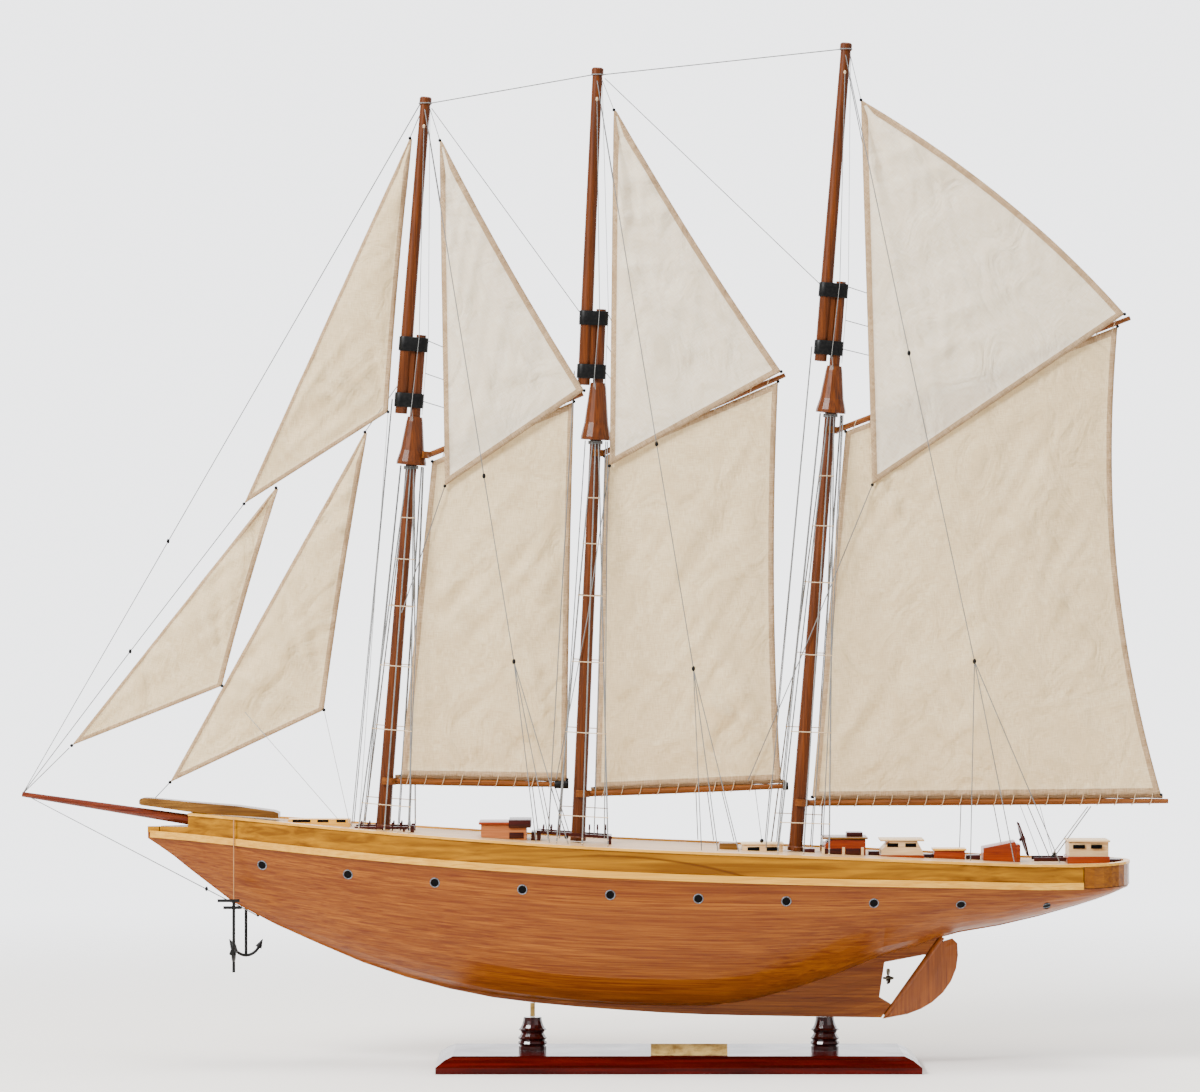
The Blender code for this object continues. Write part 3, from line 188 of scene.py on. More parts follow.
def varnished_wood(name, pale, dark, along="X", ring_mm=2.6, streak_mm=70.0, gloss=0.34,
                   coat=0.3):
    """Straight-grained wood under thin varnish: growth rings drawn long along one axis,
    short dark pores, and a slow change of tone from board to board."""
    material = blank_material(name)
    place = add_node(material, "TexCoord").outputs["Object"]
    lengths = [streak_mm if axis == along else ring_mm for axis in "XYZ"]
    grid = add_node(material, "Mapping", {"Vector": place, "Scale": per_mm(lengths)}).outputs[0]
    rings = add_node(material, "TexNoise",
                     {"Vector": grid, "Scale": 1.0, "Detail": 5.0, "Roughness": 0.62,
                      "Distortion": 0.5}).outputs[0]
    grid = add_node(material, "Mapping",
                    {"Vector": place,
                     "Scale": per_mm([length * 0.22 for length in lengths])}).outputs[0]
    pores = add_node(material, "TexNoise",
                     {"Vector": grid, "Scale": 1.0, "Detail": 3.0}).outputs[0]
    grid = add_node(material, "Mapping",
                    {"Vector": place, "Scale": per_mm((60, 60, 60))}).outputs[0]
    drift = add_node(material, "TexNoise",
                     {"Vector": grid, "Scale": 1.0, "Detail": 1.0}).outputs[0]
    ring_mix = add_node(material, "MapRange", {0: rings, 1: 0.34, 2: 0.7}).outputs[0]
    colour = add_node(material, "Mix", {0: ring_mix, 6: linear(dark), 7: linear(pale)},
                      data_type="RGBA").outputs[2]
    share = add_node(material, "MapRange",
                     {0: pores, 1: 0.62, 2: 0.8, 3: 0.0, 4: 0.5}).outputs[0]
    darker = add_node(material, "Mix", {0: share, 6: colour, 7: linear(dark)},
                      data_type="RGBA").outputs[2]
    share = add_node(material, "MapRange",
                     {0: drift, 1: 0.35, 2: 0.7, 3: 0.0, 4: 0.35}).outputs[0]
    final = add_node(material, "Mix", {0: share, 6: darker, 7: linear(dark)},
                     data_type="RGBA").outputs[2]
    rough = add_node(material, "MapRange",
                     {0: pores, 1: 0.3, 2: 0.8, 3: gloss - 0.06, 4: gloss + 0.12}).outputs[0]
    return close_material(material, final, rough, pores, 0.08, Coat_Weight=coat,
                          Coat_Roughness=0.18, Specular_IOR_Level=0.18)


# ---------------------------------------------------------------- finishes
PLANK_ROWS = 15


def hull_line(edge, degree=5):
    """Coefficients, highest power first, of the hull's upper or lower outline over x."""
    points = np.array([v.co[:] for v in NODES["hull"].data.vertices])
    bins = np.linspace(-0.375, 0.455, 42)
    xs, zs = [], []
    for low, high in zip(bins, bins[1:]):
        inside = points[(points[:, 0] >= low) & (points[:, 0] < high)]
        if len(inside):
            xs.append(float(inside[:, 0].mean()))
            zs.append(float(inside[:, 2].max() if edge == "top" else inside[:, 2].min()))
    return np.polyfit(xs, zs, degree)


def polynomial(material, x, coefficients):
    """Horner's rule in math nodes."""
    value = float(coefficients[0])
    for factor in coefficients[1:]:
        value = add_node(material, "Math", {0: value, 1: x, 2: float(factor)},
                         operation="MULTIPLY_ADD").outputs[0]
    return value


def bulwark_board():
    """Golden varnished board with broad wavy figure, and one dark line that curves
    down across the middle of each side."""
    material = blank_material("golden_bulwark_board")
    coords = add_node(material, "TexCoord")
    axes = add_node(material, "SeparateXYZ", {0: coords.outputs["Object"]})
    grid = add_node(material, "Mapping",
                    {"Vector": coords.outputs["Object"],
                     "Scale": per_mm((150, 7, 6))}).outputs[0]
    figure = add_node(material, "TexNoise",
                      {"Vector": grid, "Scale": 1.0, "Detail": 4.0,
                       "Distortion": 0.9}).outputs[0]
    grid = add_node(material, "Mapping",
                    {"Vector": coords.outputs["Object"],
                     "Scale": per_mm((30, 1.2, 1.0))}).outputs[0]
    fine = add_node(material, "TexNoise",
                    {"Vector": grid, "Scale": 1.0, "Detail": 3.0}).outputs[0]
    curve = polynomial(material, axes.outputs["X"], (-1.15, 0.0115, 0.18797))
    off = add_node(material, "Math", {0: axes.outputs["Z"], 1: curve}, operation="SUBTRACT")
    off = add_node(material, "Math", {0: off.outputs[0]}, operation="ABSOLUTE").outputs[0]
    line = add_node(material, "MapRange",
                    {0: off, 1: 0.0002, 2: 0.0016, 3: 0.8, 4: 0.0}).outputs[0]
    begin = add_node(material, "MapRange", {0: axes.outputs["X"], 1: -0.06, 2: 0.01}).outputs[0]
    finish = add_node(material, "MapRange",
                      {0: axes.outputs["X"], 1: 0.12, 2: 0.15, 3: 1.0, 4: 0.0}).outputs[0]
    line = add_node(material, "Math", {0: line, 1: begin}, operation="MULTIPLY").outputs[0]
    line = add_node(material, "Math", {0: line, 1: finish}, operation="MULTIPLY").outputs[0]
    share = add_node(material, "MapRange", {0: figure, 1: 0.34, 2: 0.64}).outputs[0]
    colour = add_node(material, "Mix", {0: share, 6: linear("#724400"), 7: linear("#a56e00")},
                      data_type="RGBA").outputs[2]
    share = add_node(material, "MapRange",
                     {0: fine, 1: 0.5, 2: 0.8, 3: 0.0, 4: 0.35}).outputs[0]
    colour = add_node(material, "Mix", {0: share, 6: colour, 7: linear("#6e4000")},
                      data_type="RGBA").outputs[2]
    colour = add_node(material, "Mix", {0: line, 6: colour, 7: linear("#4e2400")},
                      data_type="RGBA").outputs[2]
    rough = add_node(material, "MapRange",
                     {0: fine, 1: 0.3, 2: 0.8, 3: 0.28, 4: 0.4}).outputs[0]
    return close_material(material, colour, rough, fine, 0.05, Coat_Weight=0.14,
                          Coat_Roughness=0.15, Specular_IOR_Level=0.18)


def cedar_planking():
    """Satin-varnished cedar strips laid lengthwise: each strip has its own tone, fine
    lengthwise grain and a hairline seam; the strips narrow towards both ends."""
    material = blank_material("cedar_planking")
    coords = add_node(material, "TexCoord")
    axes = add_node(material, "SeparateXYZ", {0: coords.outputs["Object"]})
    top = polynomial(material, axes.outputs["X"], hull_line("top"))
    foot = polynomial(material, axes.outputs["X"], hull_line("foot"))
    depth = add_node(material, "Math", {0: top, 1: foot}, operation="SUBTRACT").outputs[0]
    below = add_node(material, "Math", {0: top, 1: axes.outputs["Z"]},
                     operation="SUBTRACT").outputs[0]
    depth = add_node(material, "Math", {0: depth, 1: 0.03}, operation="MAXIMUM").outputs[0]
    share = add_node(material, "Math", {0: below, 1: depth}, operation="DIVIDE").outputs[0]
    row = add_node(material, "Math", {0: share, 1: float(PLANK_ROWS)},
                   operation="MULTIPLY").outputs[0]
    whole = add_node(material, "Math", {0: row}, operation="FLOOR").outputs[0]
    part = add_node(material, "Math", {0: row}, operation="FRACT").outputs[0]
    tone = add_node(material, "TexWhiteNoise", {"W": whole}, noise_dimensions="1D").outputs[0]
    edge = add_node(material, "Math", {0: part, 1: 0.5}, operation="SUBTRACT").outputs[0]
    edge = add_node(material, "Math", {0: edge}, operation="ABSOLUTE").outputs[0]
    seam = add_node(material, "MapRange", {0: edge, 1: 0.455, 2: 0.5}).outputs[0]

    flow = add_node(material, "CombineXYZ", {"X": axes.outputs["X"], "Y": axes.outputs["Y"],
                                             "Z": below}).outputs[0]
    grain_map = add_node(material, "Mapping", {"Vector": flow, "Scale": (12.0, 160.0, 620.0)})
    grain = add_node(material, "TexNoise", {"Vector": grain_map.outputs[0], "Scale": 1.0,
                                            "Detail": 6.0, "Roughness": 0.65,
                                            "Distortion": 0.7}).outputs[0]
    streak_map = add_node(material, "Mapping", {"Vector": flow, "Scale": (3.2, 20.0, 95.0)})
    streak = add_node(material, "TexNoise", {"Vector": streak_map.outputs[0], "Scale": 1.0,
                                             "Detail": 3.0, "Distortion": 1.2}).outputs[0]
    share = add_node(material, "MapRange", {0: grain, 1: 0.36, 2: 0.66}).outputs[0]
    colour = add_node(material, "Mix", {0: share, 6: linear("#622a08"), 7: linear("#985818")},
                      data_type="RGBA").outputs[2]
    share = add_node(material, "MapRange",
                     {0: tone, 1: 0.0, 2: 1.0, 3: 0.0, 4: 0.34}).outputs[0]
    colour = add_node(material, "Mix", {0: share, 6: colour, 7: linear("#642a04")},
                      data_type="RGBA").outputs[2]
    share = add_node(material, "MapRange",
                     {0: streak, 1: 0.54, 2: 0.74, 3: 0.0, 4: 0.4}).outputs[0]
    colour = add_node(material, "Mix", {0: share, 6: colour, 7: linear("#5a2406")},
                      data_type="RGBA").outputs[2]
    share = add_node(material, "MapRange", {0: seam, 1: 0.0, 2: 1.0, 3: 0.0, 4: 0.3}).outputs[0]
    colour = add_node(material, "Mix", {0: share, 6: colour, 7: linear("#45180a")},
                      data_type="RGBA").outputs[2]
    rough = add_node(material, "MapRange",
                     {0: grain, 1: 0.3, 2: 0.8, 3: 0.3, 4: 0.42}).outputs[0]
    height = add_node(material, "Math", {0: grain, 1: seam}, operation="SUBTRACT").outputs[0]
    return close_material(material, colour, rough, height, 0.12, Coat_Weight=0.08,
                          Coat_Roughness=0.2, Specular_IOR_Level=0.15)


def deck_boards():
    """Pale sanded boards 5 mm wide with dark caulked seams."""
    material = blank_material("sanded_deck_boards")
    coords = add_node(material, "TexCoord")
    axes = add_node(material, "SeparateXYZ", {0: coords.outputs["Object"]})
    row = add_node(material, "Math", {0: axes.outputs["Y"], 1: 1 / (5 * MM)},
                   operation="MULTIPLY").outputs[0]
    whole = add_node(material, "Math", {0: row}, operation="FLOOR").outputs[0]
    part = add_node(material, "Math", {0: row}, operation="FRACT").outputs[0]
    tone = add_node(material, "TexWhiteNoise", {"W": whole}, noise_dimensions="1D").outputs[0]
    seam = add_node(material, "MapRange", {0: part, 1: 0.91, 2: 0.95}).outputs[0]
    grid = add_node(material, "Mapping",
                    {"Vector": coords.outputs["Object"],
                     "Scale": per_mm((60, 1.4, 4))}).outputs[0]
    grain = add_node(material, "TexNoise",
                     {"Vector": grid, "Scale": 1.0, "Detail": 4.0}).outputs[0]
    share = add_node(material, "MapRange", {0: grain, 1: 0.35, 2: 0.7}).outputs[0]
    colour = add_node(material, "Mix", {0: share, 6: linear("#b98a55"), 7: linear("#e2bd88")},
                      data_type="RGBA").outputs[2]
    share = add_node(material, "MapRange", {0: tone, 1: 0, 2: 1, 3: 0.0, 4: 0.3}).outputs[0]
    colour = add_node(material, "Mix", {0: share, 6: colour, 7: linear("#a87b4a")},
                      data_type="RGBA").outputs[2]
    share = add_node(material, "MapRange", {0: seam, 1: 0, 2: 1, 3: 0.0, 4: 0.75}).outputs[0]
    colour = add_node(material, "Mix", {0: share, 6: colour, 7: linear("#4b3322")},
                      data_type="RGBA").outputs[2]
    return close_material(material, colour, 0.5, grain, 0.05)


def cotton_sailcloth(name, pale, shade):
    """Unbleached plain-weave cotton: slubby yarns both ways, a few millimetres long, faint
    wrinkles with painted shade in their creases, and daylight that glows through the thin cloth."""
    material = blank_material(name)
    uv = add_node(material, "TexCoord").outputs["UV"]
    yarns = []
    for scale in ((1500.0, 130.0, 1.0), (130.0, 1500.0, 1.0)):
        along = add_node(material, "Mapping", {"Vector": uv, "Scale": scale})
        yarns.append(add_node(material, "TexNoise", {"Vector": along.outputs[0], "Scale": 1.0,
                                                     "Detail": 2.0}).outputs[0])
    weave = add_node(material, "Math", {0: yarns[0], 1: yarns[1]}, operation="ADD").outputs[0]
    wide = add_node(material, "Mapping", {"Vector": uv, "Scale": (26.0, 20.0, 1.0)})
    wrinkle = add_node(material, "TexNoise", {"Vector": wide.outputs[0], "Scale": 1.0,
                                              "Detail": 4.0, "Distortion": 1.6}).outputs[0]
    share = add_node(material, "MapRange", {0: weave, 1: 0.8, 2: 1.2}).outputs[0]
    colour = add_node(material, "Mix", {0: share, 6: linear(shade), 7: linear(pale)},
                      data_type="RGBA").outputs[2]
    # Painted shade: the cloth is darkened towards the shade colour along the creases of the
    # wrinkle pattern.
    share = add_node(material, "MapRange",
                     {0: wrinkle, 1: 0.48, 2: 0.72, 3: 0.0, 4: 0.6}).outputs[0]
    colour = add_node(material, "Mix", {0: share, 6: colour, 7: linear(shade)},
                      data_type="RGBA").outputs[2]
    height = add_node(material, "Math", {0: weave, 1: 0.02, 2: wrinkle},
                      operation="MULTIPLY_ADD").outputs[0]
    bump = add_node(material, "Bump", {"Height": height, "Strength": 1.0,
                                       "Distance": 5.0 * MM}).outputs[0]
    front = add_node(material, "BsdfPrincipled", {"Base Color": colour, "Roughness": 0.92,
                                                  "Normal": bump, "Sheen Weight": 0.1,
                                                  "Specular IOR Level": 0.1})
    glow = add_node(material, "BsdfTranslucent", {"Color": colour})
    mix = add_node(material, "MixShader", {0: 0.34, 1: front.outputs[0], 2: glow.outputs[0]})
    add_node(material, "OutputMaterial", {"Surface": mix.outputs[0]})
    return material


def waxed_thread(name, pale, dark):
    """Two-ply waxed thread: painted shade in the grooves where the plies cross and painted light
    on their crowns, 1 mm apart.
    """
    material = blank_material(name)
    place = add_node(material, "TexCoord").outputs["Object"]
    grid = add_node(material, "Mapping",
                    {"Vector": place, "Scale": per_mm((1, 1, 1))}).outputs[0]
    twist = add_node(material, "TexWave",
                     {"Vector": grid, "Scale": 0.6, "Distortion": 1.5, "Detail": 1.0},
                     bands_direction="DIAGONAL").outputs[1]
    grid = add_node(material, "Mapping",
                    {"Vector": place, "Scale": per_mm((9, 9, 9))}).outputs[0]
    fuzz = add_node(material, "TexNoise", {"Vector": grid, "Scale": 1.0}).outputs[0]
    # The twist bands are painted light and shade of the plies' relief; the fuzz noise varies the
    # thread's own tone.
    mixed = add_node(material, "Math", {0: twist, 1: fuzz}, operation="MULTIPLY").outputs[0]
    share = add_node(material, "MapRange", {0: mixed, 1: 0.05, 2: 0.5}).outputs[0]
    colour = add_node(material, "Mix", {0: share, 6: linear(dark), 7: linear(pale)},
                      data_type="RGBA").outputs[2]
    return close_material(material, colour, 0.7, twist, 0.1, Sheen_Weight=0.1)


def red_lacquer():
    """Sprayed red mahogany lacquer, rubbed to a mirror gloss over faint grain."""
    material = blank_material("red_mahogany_lacquer")
    place = add_node(material, "TexCoord").outputs["Object"]
    grid = add_node(material, "Mapping",
                    {"Vector": place, "Scale": per_mm((90, 5, 5))}).outputs[0]
    grain = add_node(material, "TexNoise",
                     {"Vector": grid, "Scale": 1.0, "Detail": 4.0}).outputs[0]
    grid = add_node(material, "Mapping",
                    {"Vector": place, "Scale": per_mm((40, 40, 40))}).outputs[0]
    haze = add_node(material, "TexNoise", {"Vector": grid, "Scale": 1.0}).outputs[0]
    share = add_node(material, "MapRange", {0: grain, 1: 0.35, 2: 0.7}).outputs[0]
    colour = add_node(material, "Mix", {0: share, 6: linear("#2a0201"), 7: linear("#520702")},
                      data_type="RGBA").outputs[2]
    rough = add_node(material, "MapRange",
                     {0: haze, 1: 0.3, 2: 0.7, 3: 0.15, 4: 0.22}).outputs[0]
    return close_material(material, colour, rough, IOR=1.25,
                          Specular_IOR_Level=0.3)


def blackened_iron():
    """Cast white metal painted satin black, slightly worn in small patches."""
    material = blank_material("blackened_iron")
    place = add_node(material, "TexCoord").outputs["Object"]
    grid = add_node(material, "Mapping",
                    {"Vector": place, "Scale": per_mm((2, 2, 2))}).outputs[0]
    wear = add_node(material, "TexNoise",
                    {"Vector": grid, "Scale": 1.0, "Detail": 4.0}).outputs[0]
    share = add_node(material, "MapRange", {0: wear, 1: 0.5, 2: 0.8, 3: 0.0, 4: 0.5}).outputs[0]
    colour = add_node(material, "Mix", {0: share, 6: linear("#040404"), 7: linear("#1c1b19")},
                      data_type="RGBA").outputs[2]
    rough = add_node(material, "MapRange", {0: wear, 1: 0.3, 2: 0.8, 3: 0.4, 4: 0.6}).outputs[0]
    return close_material(material, colour, rough, wear, 0.06, Specular_IOR_Level=0.2)


def aged_brass(name, bright, dull):
    """Rolled brass, brushed lengthwise, with thin brown tarnish."""
    material = blank_material(name)
    place = add_node(material, "TexCoord").outputs["Object"]
    grid = add_node(material, "Mapping",
                    {"Vector": place, "Scale": per_mm((14, 0.5, 0.5))}).outputs[0]
    brush = add_node(material, "TexNoise",
                     {"Vector": grid, "Scale": 1.0, "Detail": 3.0}).outputs[0]
    grid = add_node(material, "Mapping",
                    {"Vector": place, "Scale": per_mm((9, 9, 9))}).outputs[0]
    cloud = add_node(material, "TexNoise",
                     {"Vector": grid, "Scale": 1.0, "Detail": 3.0}).outputs[0]
    share = add_node(material, "MapRange", {0: cloud, 1: 0.4, 2: 0.7}).outputs[0]
    colour = add_node(material, "Mix", {0: share, 6: linear(bright), 7: linear(dull)},
                      data_type="RGBA").outputs[2]
    rough = add_node(material, "MapRange",
                     {0: brush, 1: 0.3, 2: 0.7, 3: 0.24, 4: 0.42}).outputs[0]
    return close_material(material, colour, rough, brush, 0.03, Metallic=1.0)


def dark_glass():
    """Glossy black glazing behind the windows and portholes."""
    material = blank_material("dark_glazing")
    place = add_node(material, "TexCoord").outputs["Object"]
    grid = add_node(material, "Mapping",
                    {"Vector": place, "Scale": per_mm((6, 6, 6))}).outputs[0]
    smear = add_node(material, "TexNoise", {"Vector": grid, "Scale": 1.0}).outputs[0]
    colour = add_node(material, "Mix", {0: smear, 6: linear("#030303"), 7: linear("#0b0b0d")},
                      data_type="RGBA").outputs[2]
    rough = add_node(material, "MapRange",
                     {0: smear, 1: 0.3, 2: 0.7, 3: 0.45, 4: 0.55}).outputs[0]
    return close_material(material, colour, rough, Specular_IOR_Level=0.05)


def grey_tin(name, pale, dark):
    """Dull grey cast tin of the porthole rims."""
    material = blank_material(name)
    place = add_node(material, "TexCoord").outputs["Object"]
    grid = add_node(material, "Mapping",
                    {"Vector": place, "Scale": per_mm((1.5, 1.5, 1.5))}).outputs[0]
    cast = add_node(material, "TexNoise",
                    {"Vector": grid, "Scale": 1.0, "Detail": 3.0}).outputs[0]
    share = add_node(material, "MapRange", {0: cast, 1: 0.35, 2: 0.7}).outputs[0]
    colour = add_node(material, "Mix", {0: share, 6: linear(dark), 7: linear(pale)},
                      data_type="RGBA").outputs[2]
    rough = add_node(material, "MapRange",
                     {0: cast, 1: 0.3, 2: 0.7, 3: 0.4, 4: 0.55}).outputs[0]
    return close_material(material, colour, rough, cast, 0.05, Metallic=0.4)


# ---------------------------------------------------------------- mesh helpers
def mesh_object(name, shape, smooth_angle=40.0):
    """Turns a bmesh into a named object at the origin."""
    mesh = bpy.data.meshes.new(name)
    shape.to_mesh(mesh)
    shape.free()
    item = bpy.data.objects.new(name, mesh)
    bpy.context.scene.collection.objects.link(item)
    if smooth_angle:
        mesh.shade_smooth()
        mesh.set_sharp_from_angle(angle=math.radians(smooth_angle))
    return item


def fit_out(item, material, body=BASE):
    """Gives a finished piece its material and body."""
    item.data.materials.append(material)
    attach(item, body)
    return item


def add_block(shape, low, high, bevel_mm=0.35):
    """One softened block between two corners in millimetres."""
    low, high = Vector(low) * MM, Vector(high) * MM
    place = Matrix.Translation((low + high) / 2) @ Matrix.Diagonal((*(high - low), 1.0))
    corners = bmesh.ops.create_cube(shape, size=1.0, matrix=place)["verts"]
    if bevel_mm:
        edges = {edge for corner in corners for edge in corner.link_edges}
        bmesh.ops.bevel(shape, geom=list(edges), offset=bevel_mm * MM, segments=2, profile=0.5,
                        affect="EDGES", material=-1)
    return corners


def blocks(name, corner_pairs, material, bevel_mm=0.35):
    shape = bmesh.new()
    for low, high in corner_pairs:
        add_block(shape, low, high, bevel_mm)
    fit_out(mesh_object(name, shape, 30), material)


def thread_runs(name, runs, diameter_mm, material, body=BASE):
    """Taut threads, each a run of points in metres, as one mesh of round tubes."""
    curve = bpy.data.curves.new(name, "CURVE")
    curve.dimensions = "3D"
    curve.bevel_depth = diameter_mm * MM / 2
    curve.bevel_resolution = 2
    curve.use_fill_caps = True
    for points in runs:
        spline = curve.splines.new("POLY")
        spline.points.add(len(points) - 1)
        for spot, point in zip(spline.points, points):
            spot.co = (*point, 1.0)
    carrier = bpy.data.objects.new(name + "_line", curve)
    mesh = bpy.data.meshes.new_from_object(carrier)
    bpy.data.objects.remove(carrier)
    bpy.data.curves.remove(curve)
    mesh.name = name
    item = bpy.data.objects.new(name, mesh)
    bpy.context.scene.collection.objects.link(item)
    mesh.materials.clear()
    mesh.materials.append(material)
    mesh.shade_smooth()
    if body:
        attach(item, body)
    return item


def beads(name, centres, radius_mm, material, body=BASE,
          stretch=1.0):
    """Small round knots, blocks or beads."""
    shape = bmesh.new()
    for centre in centres:
        place = Matrix.Translation(centre) @ Matrix.Diagonal((1.0, 1.0, stretch, 1.0))
        bmesh.ops.create_icosphere(shape, subdivisions=2, radius=radius_mm * MM, matrix=place)
    fit_out(mesh_object(name, shape, 180), material, body)


# ---------------------------------------------------------------- places read off the frame
HULL_SKIN = BVHTree.FromObject(NODES["hull"], bpy.context.evaluated_depsgraph_get())
# half beam, sheer and the height of the bulwark band above it, in millimetres against x
HALF_BEAM = ((-388.5, 1.3), (-352, 13), (-300, 29), (-240, 46), (-169, 60), (-82, 71),
             (5, 76.5), (92, 77), (180, 75), (260, 71), (340, 63), (421, 50))
SHEER = ((-388.5, 200), (-343, 197), (-273, 190.5), (-169, 181.5), (-64, 174), (5, 170),
         (92, 166.3), (197, 163), (301, 160.5), (406, 157.5), (465, 158.8))
BAND_HEIGHT = ((-352, 20.8), (-273, 22), (-64, 22.9), (92, 22.7), (197, 22), (301, 19.8),
               (406, 18.8), (465, 18.6))


def read_off(table, x_mm):
    return float(np.interp(x_mm, [row[0] for row in table], [row[1] for row in table]))


def half_beam(x_mm):
    return read_off(HALF_BEAM, x_mm)


def sheer(x_mm):
    return read_off(SHEER, x_mm)


def deck_top(x_mm):
    return sheer(x_mm) + read_off(BAND_HEIGHT, x_mm) + 1.0


def rail_point(x_mm, side, inboard_mm):
    """A point on top of the cap rail."""
    return flat(x_mm, deck_top(x_mm) + 2.4, side * (half_beam(x_mm) - inboard_mm))


def hull_side(x, z, side):
    """The hull's outer skin at a height, as (point, outward normal)."""
    hit, normal, _, _ = HULL_SKIN.ray_cast(Vector((x, side * 0.2, z)), Vector((0, -side, 0)))
    return hit, normal


def mast_line(name):
    """Foot point and direction of a lower mast, from the joint of its boom."""
    joint = next(j for j in frame["joints"] if j["name"] == name + "_boom_swing")
    return Vector(joint["pos_m"]), Vector(joint["axis"]).normalized()


TOPMAST_FORWARD = 12.4


def on_mast(name, z_mm, aft_mm=0.0, out_mm=0.0):
    """A point beside a mast's axis at a height in millimetres."""
    foot, axis = mast_line(name)
    point = foot + axis * ((z_mm * MM - foot.z) / axis.z)
    square = Vector((axis.z, 0, -axis.x))
    return point + square * (aft_mm * MM) + Vector((0, out_mm * MM, 0))


def flat(x_mm, z_mm, y_mm=0.0):
    return Vector((x_mm, y_mm, z_mm)) * MM


# ---------------------------------------------------------------- sails
HEM_MM = 5.5
CLOTH_MM = 0.45
FOLD_MM = 3.1
HEM_THICKNESS_MM = 1.0
# corners in millimetres: head at the luff, head at the leech, clew, tack; then belly and the
# leech's bow, and what each sail hangs on
SAILS = {
    "jib_topsail": ((-160.4, 808), (-158.4, 807), (-179.4, 569.6), (-304.9, 489.5), 5, -2,
                    "jib_topsail_body", ["fore_topmast"]),
    "flying_jib": ((-277.0, 503.5), (-275.0, 502.5), (-324, 331), (-455, 279), 4, -2,
                   "flying_jib_body", ["bowsprit"]),
    "inner_jib": ((-199.6, 552), (-197.6, 551), (-235.2, 310), (-369.3, 247), 5, -2,
                  "inner_jib_body", ["fore_lower_mast"]),
    "fore_sail": ((-141.0, 526.5), (-17.5, 578.6), (-23.5, 249.5), (-168.5, 252.6), 6, -1,
                  "fore_boom_body", ["fore_gaff", "fore_boom"]),
    "main_sail": ((9.0, 531.0), (160.3, 596.0), (163.0, 248.2), (0.5, 241.8), 6, -5,
                  "main_boom_body", ["main_gaff", "main_boom"]),
    "mizzen_sail": ((219.0, 552.5), (456.0, 644.0), (494.0, 236.0), (190.0, 234.2), 7, -20,
                    "mizzen_boom_body", ["mizzen_gaff", "mizzen_boom"]),
    "fore_topsail": ((-134.3, 806), (-132.3, 805), (-8.5, 588.0), (-129.8, 505.0), 4, -3,
                     "fore_gaff_body", ["fore_topmast", "fore_gaff"]),
    "main_topsail": ((17.3, 832.6), (19.3, 831.6), (162.9, 604.5), (13.5, 522.5), 4, -3,
                     "main_gaff_body", ["main_topmast", "main_gaff"]),
    "mizzen_topsail": ((232.4, 841.3), (234.4, 840.3), (461.6, 654.5), (242.1, 506.0), 5, 12,
                       "mizzen_gaff_body", ["mizzen_topmast", "mizzen_gaff"]),
}
TOPSAIL_Y = -4.8
TOPSAIL_HEAD_Y = -1.0


def steps_with_hems(length_mm, count):
    """Shares along an edge, with narrow steps for the hem at both ends."""
    hem = min(HEM_MM / length_mm, 0.3)
    seam = min(0.5 / length_mm, 0.02)
    inner = [hem + seam + (1 - 2 * (hem + seam)) * i / count for i in range(count + 1)]
    return [0.0, hem / 2, hem] + inner + [1 - hem, 1 - hem / 2, 1.0]


def crease(point, angle, pitch_mm, seed):
    """Height of long folds with a crisp crest that run at an angle, up to 1."""
    u = (point.x * math.cos(angle) + point.y * math.sin(angle)) / (pitch_mm * MM)
    v = (-point.x * math.sin(angle) + point.y * math.cos(angle)) / (pitch_mm * 6 * MM)
    return 1 - 3 * abs(noise.noise(Vector((u, v, seed)))) ** 0.8


def corner_pull(point, corners, seed):
    """Folds that fan out from the corners where the cloth is pulled tight."""
    total = 0.0
    for i, corner in enumerate(corners):
        away = point - corner
        reach = math.exp(-away.length / 0.11) * min(away.length / 0.02, 1.0)
        turn = math.atan2(away.y, away.x)
        total += reach * math.sin(turn * 15 + seed + i * 2.1 + 1.4 * math.sin(turn * 6 + seed))
    return total


def sail_surface(spec, name, seed):
    """Function from (u, v), luff to leech and head to foot, to a point of the bellied cloth."""
    head_luff, head_leech, clew, tack, belly, bow = spec[:6]
    near_gaff = name.endswith("_topsail") and name != "jib_topsail"
    corner_y = TOPSAIL_Y if near_gaff else 0.0
    head_y = TOPSAIL_HEAD_Y if near_gaff else 0.0
    luff_head, leech_head = flat(*head_luff, head_y), flat(*head_leech, head_y)
    luff_foot, leech_foot = flat(*tack, corner_y), flat(*clew, corner_y)
    flat_corners = [Vector((c.x, c.z, 0)) for c in (luff_head, leech_head, leech_foot,
                                                    luff_foot)]

    def place(u, v):
        luff = luff_head.lerp(luff_foot, v)
        leech = leech_head.lerp(leech_foot, v)
        across = leech - luff
        leech = leech + across.normalized() * bow * MM * 4 * v * (1 - v)
        point = luff.lerp(leech, u)
        depth = belly * MM * 4 * u * (1 - u) * math.sin(math.pi * v)
        flat_spot = Vector((point.x, point.z, 0))
        away = min(4 * u * (1 - u) * 1.6, 1.0) * min(4 * v * (1 - v) * 1.6, 1.0)
        lean = math.atan2(leech_head.z - leech_foot.z, leech_head.x - leech_foot.x)
        folds = 0.55 * crease(flat_spot, lean + 0.9, 16, seed)
        folds += 0.45 * crease(flat_spot, lean - 0.5, 26, seed + 7.3)
        folds += 0.3 * noise.noise(flat_spot * 90 + Vector((0, 0, seed)))
        folds += 0.9 * corner_pull(flat_spot, flat_corners, seed)
        folds *= 0.75 + 1.3 * noise.noise(flat_spot * 13 + Vector((seed, 0, 0)))
        if near_gaff:
            folds = max(folds + 0.3, 0.0)
        elif name.endswith("_sail"):
            away *= min(v / 0.3, 1.0)
        return point + Vector((0, -depth - folds * FOLD_MM * MM * away, 0))

    return place


